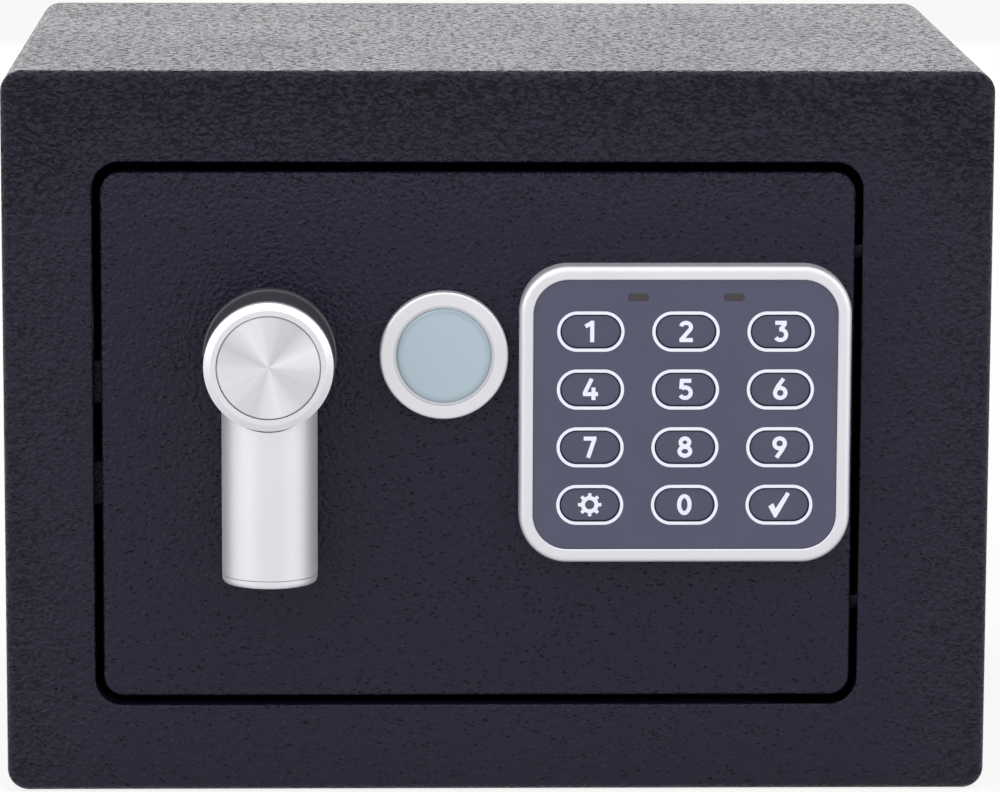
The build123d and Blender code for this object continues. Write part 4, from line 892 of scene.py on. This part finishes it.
class SAFE_OT_key_print(bpy.types.Operator):
    """White outlines, digits and signs on the keypad"""
    bl_idname = "safe.key_print"
    bl_label = "Key print"

    def execute(self, context):
        self.sizes = context.scene.safe_sizes
        self.white = ink(context.scene.safe_colours)
        outline = self.outline()
        names = sorted(n for n in frame["nodes"] if n.startswith("key_"))
        for name in names:
            self.place_outline(outline, name)
            if name in DIGITS:
                self.digit(name, DIGITS[name])
        bpy.data.objects.remove(outline)
        self.gear("key_settings")
        self.stroke("key_enter", ((-2.45, -0.45), (-1.35, 0.35), (-0.75, -0.95), (1.75, 3.0),
                                  (2.55, 2.5), (-0.6, -3.1), (-1.05, -3.1)))
        return {"FINISHED"}

    def thicken(self, piece):
        """Gives a flat shape the thickness of a coat of ink, and turns its faces outwards."""
        only(piece)
        solid = piece.modifiers.new("ink", "SOLIDIFY")
        solid.thickness = self.sizes.print_height
        solid.offset = 0.0
        apply_all(piece)
        bpy.ops.object.mode_set(mode="EDIT")
        bpy.ops.mesh.select_all(action="SELECT")
        bpy.ops.mesh.normals_make_consistent(inside=False)
        bpy.ops.object.mode_set(mode="OBJECT")
        paint(piece, self.white)

    def outline(self):
        """One ring with half-round ends, flat at the origin."""
        key_w, key_h = 14.0 * MM, 7.85 * MM
        r = key_h / 2 + self.sizes.outline_gap
        shift = (key_w - key_h) / 2
        bpy.ops.mesh.primitive_circle_add(vertices=64, radius=r, fill_type="NGON")
        ring = own("key_outline")
        for side in (-1, 1):
            for vertex in ring.data.vertices:
                vertex.select = vertex.co.x * side > 0.01 * MM
            for edge in ring.data.edges:
                edge.select = all(ring.data.vertices[i].select for i in edge.vertices)
            for face in ring.data.polygons:
                face.select = False
            bpy.ops.object.mode_set(mode="EDIT")
            bpy.ops.mesh.select_mode(type="VERT")
            bpy.ops.transform.translate(value=(side * shift, 0, 0))
            bpy.ops.object.mode_set(mode="OBJECT")
        bpy.ops.object.mode_set(mode="EDIT")
        bpy.ops.mesh.select_all(action="SELECT")
        bpy.ops.mesh.inset(thickness=self.sizes.outline_line)
        bpy.ops.mesh.delete(type="FACE")
        bpy.ops.object.mode_set(mode="OBJECT")
        return ring

    def place_outline(self, outline, name):
        ring = outline.copy()
        ring.data = outline.data.copy()
        ring.name = name + "_outline"
        bpy.context.scene.collection.objects.link(ring)
        centre = key_centre(name)
        panel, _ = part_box("keypad_panel")
        flat_to_front(ring, (centre.x, panel.y, centre.z))
        self.thicken(ring)
        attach(ring, "door")

    def sit_on_key(self, piece, name, lift=0.0):
        """Centres a flat shape on a key's face, as ink, and lets it move with the key."""
        centre = key_centre(name)
        flat_to_front(piece, (centre.x, centre.y - lift, centre.z))
        self.thicken(piece)
        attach(piece, name)

    def digit(self, name, strokes):
        """A digit from the middle lines of its strokes, in millimetres from the key's middle."""
        half = self.sizes.digit_weight / MM / 2
        tall = self.sizes.digit_height / MM / DIGIT_TALL_MM
        made = []
        for layer, line in enumerate(strokes):
            left, right = [], []
            for k, (x, y) in enumerate(line):
                before, after = line[max(k - 1, 0)], line[min(k + 1, len(line) - 1)]
                along = Vector((after[0] - before[0], after[1] - before[1])).normalized()
                left.append(((x - along.y * half) * tall, (y + along.x * half) * tall))
                right.append(((x + along.y * half) * tall, (y - along.x * half) * tall))
            self.stroke(name, left + right[::-1], layer * STROKE_LIFT_MM * MM)
            made.append(bpy.context.object)
        bpy.ops.object.select_all(action="DESELECT")
        for piece in made:
            piece.select_set(True)
        bpy.context.view_layer.objects.active = made[0]
        if len(made) > 1:
            bpy.ops.object.join()

    def gear(self, name):
        """A cog with eight teeth round an open middle."""
        teeth, half_tooth, tooth_out = 8, 10.5, 0.68 * MM
        outer_r, inner_r, rim = 2.05 * MM, 1.9 * MM, 0.95 * MM
        bpy.ops.mesh.primitive_circle_add(vertices=64, radius=outer_r, fill_type="NGON")
        cog = own(name + "_sign")
        bpy.ops.object.mode_set(mode="EDIT")
        bpy.ops.mesh.select_all(action="SELECT")
        bpy.ops.mesh.inset(thickness=rim)
        bpy.ops.mesh.delete(type="FACE")
        bpy.ops.object.mode_set(mode="OBJECT")
        for tooth in range(teeth):
            facing = tooth * 360 / teeth
            for edge in cog.data.edges:
                a, b = (cog.data.vertices[i].co for i in edge.vertices)
                middle = (a + b) / 2
                turn = math.degrees(math.atan2(middle.y, middle.x)) % 360
                away = abs((turn - facing + 180) % 360 - 180)
                edge.select = min(a.length, b.length) > inner_r and away < half_tooth
            for vertex in cog.data.vertices:
                vertex.select = False
            for face in cog.data.polygons:
                face.select = False
            for edge in cog.data.edges:
                if edge.select:
                    for i in edge.vertices:
                        cog.data.vertices[i].select = True
            turn = math.radians(facing)
            out = Vector((math.cos(turn), math.sin(turn), 0)) * tooth_out
            bpy.ops.object.mode_set(mode="EDIT")
            bpy.ops.mesh.select_mode(type="EDGE")
            bpy.ops.mesh.extrude_edges_move(TRANSFORM_OT_translate={"value": out})
            bpy.ops.mesh.select_all(action="DESELECT")
            bpy.ops.object.mode_set(mode="OBJECT")
        self.sit_on_key(cog, name)

    def stroke(self, name, corners, lift=0.0):
        """A flat sign from its corners, in millimetres from the key's middle."""
        bpy.ops.mesh.primitive_circle_add(vertices=len(corners), radius=MM, fill_type="NGON")
        sign = own(name + "_sign")
        for vertex, (x, y) in zip(sign.data.vertices, corners):
            vertex.co = (x * MM, y * MM, 0)
        self.sit_on_key(sign, name, lift)


class SAFE_OT_lock_work(bpy.types.Operator):
    """Bolts, hinges and the other steel and brass pieces"""
    bl_idname = "safe.lock_work"
    bl_label = "Lock work"

    def execute(self, context):
        zinc, steel, yellow = zinc_plate(), turned_steel(), brass()
        paint_nodes(PLATED, zinc)
        for name in TURNED:
            finished_copy(name, steel)
        finished_copy("lock_cylinder", steel)
        for name in ("lock_plug", "spindle_bush"):
            finished_copy(name, yellow)
        return {"FINISHED"}


class SAFE_OT_electronics(bpy.types.Operator):
    """Liner, battery tray, boards and leads"""
    bl_idname = "safe.electronics"
    bl_label = "Electronics"

    def execute(self, context):
        black = moulded_black()
        for name in ("door_liner", "battery_lid"):
            finished_copy(name, black)
        paint_nodes(("battery_tray", "keypad_base", "sounder"), black)
        paint_nodes(("control_board", "keypad_board"), circuit_board())
        finished_copy("solenoid_coil", coil_tape())
        finished_copy("batteries", cell_sleeve())
        red = wire_jacket()
        finished_copy("wiring", red)
        finished_copy("reset_button", red)
        return {"FINISHED"}


class SAFE_PT_panel(bpy.types.Panel):
    """Lists the pieces and their sizes"""
    bl_idname = "SAFE_PT_panel"
    bl_label = "Electronic safe"
    bl_space_type = "VIEW_3D"
    bl_region_type = "UI"
    bl_category = "Safe"

    def draw(self, context):
        scene = context.scene
        for group in (scene.safe_sizes, scene.safe_colours, scene.safe_stage):
            box = self.layout.box()
            for name in group.bl_rna.properties.keys():
                if name not in {"rna_type", "name"}:
                    box.prop(group, name)
        for operator in OPERATORS:
            self.layout.operator(operator.bl_idname)


OPERATORS = (SAFE_OT_stage, SAFE_OT_cabinet, SAFE_OT_felt, SAFE_OT_handle, SAFE_OT_badge,
             SAFE_OT_keypad, SAFE_OT_key_print, SAFE_OT_lock_work, SAFE_OT_electronics)
CLASSES = (SafeSizes, SafeColours, SafeStage, *OPERATORS, SAFE_PT_panel)


def register():
    for cls in CLASSES:
        bpy.utils.register_class(cls)
    bpy.types.Scene.safe_sizes = bpy.props.PointerProperty(type=SafeSizes)
    bpy.types.Scene.safe_colours = bpy.props.PointerProperty(type=SafeColours)
    bpy.types.Scene.safe_stage = bpy.props.PointerProperty(type=SafeStage)


def unregister():
    del bpy.types.Scene.safe_stage
    del bpy.types.Scene.safe_colours
    del bpy.types.Scene.safe_sizes
    for cls in reversed(CLASSES):
        bpy.utils.unregister_class(cls)


def main():
    register()
    bpy.ops.safe.stage()
    bpy.ops.safe.cabinet()
    bpy.ops.safe.felt()
    bpy.ops.safe.handle()
    bpy.ops.safe.badge()
    bpy.ops.safe.keypad()
    bpy.ops.safe.key_print()
    bpy.ops.safe.lock_work()
    bpy.ops.safe.electronics()


if __name__ == "__main__":
    main()
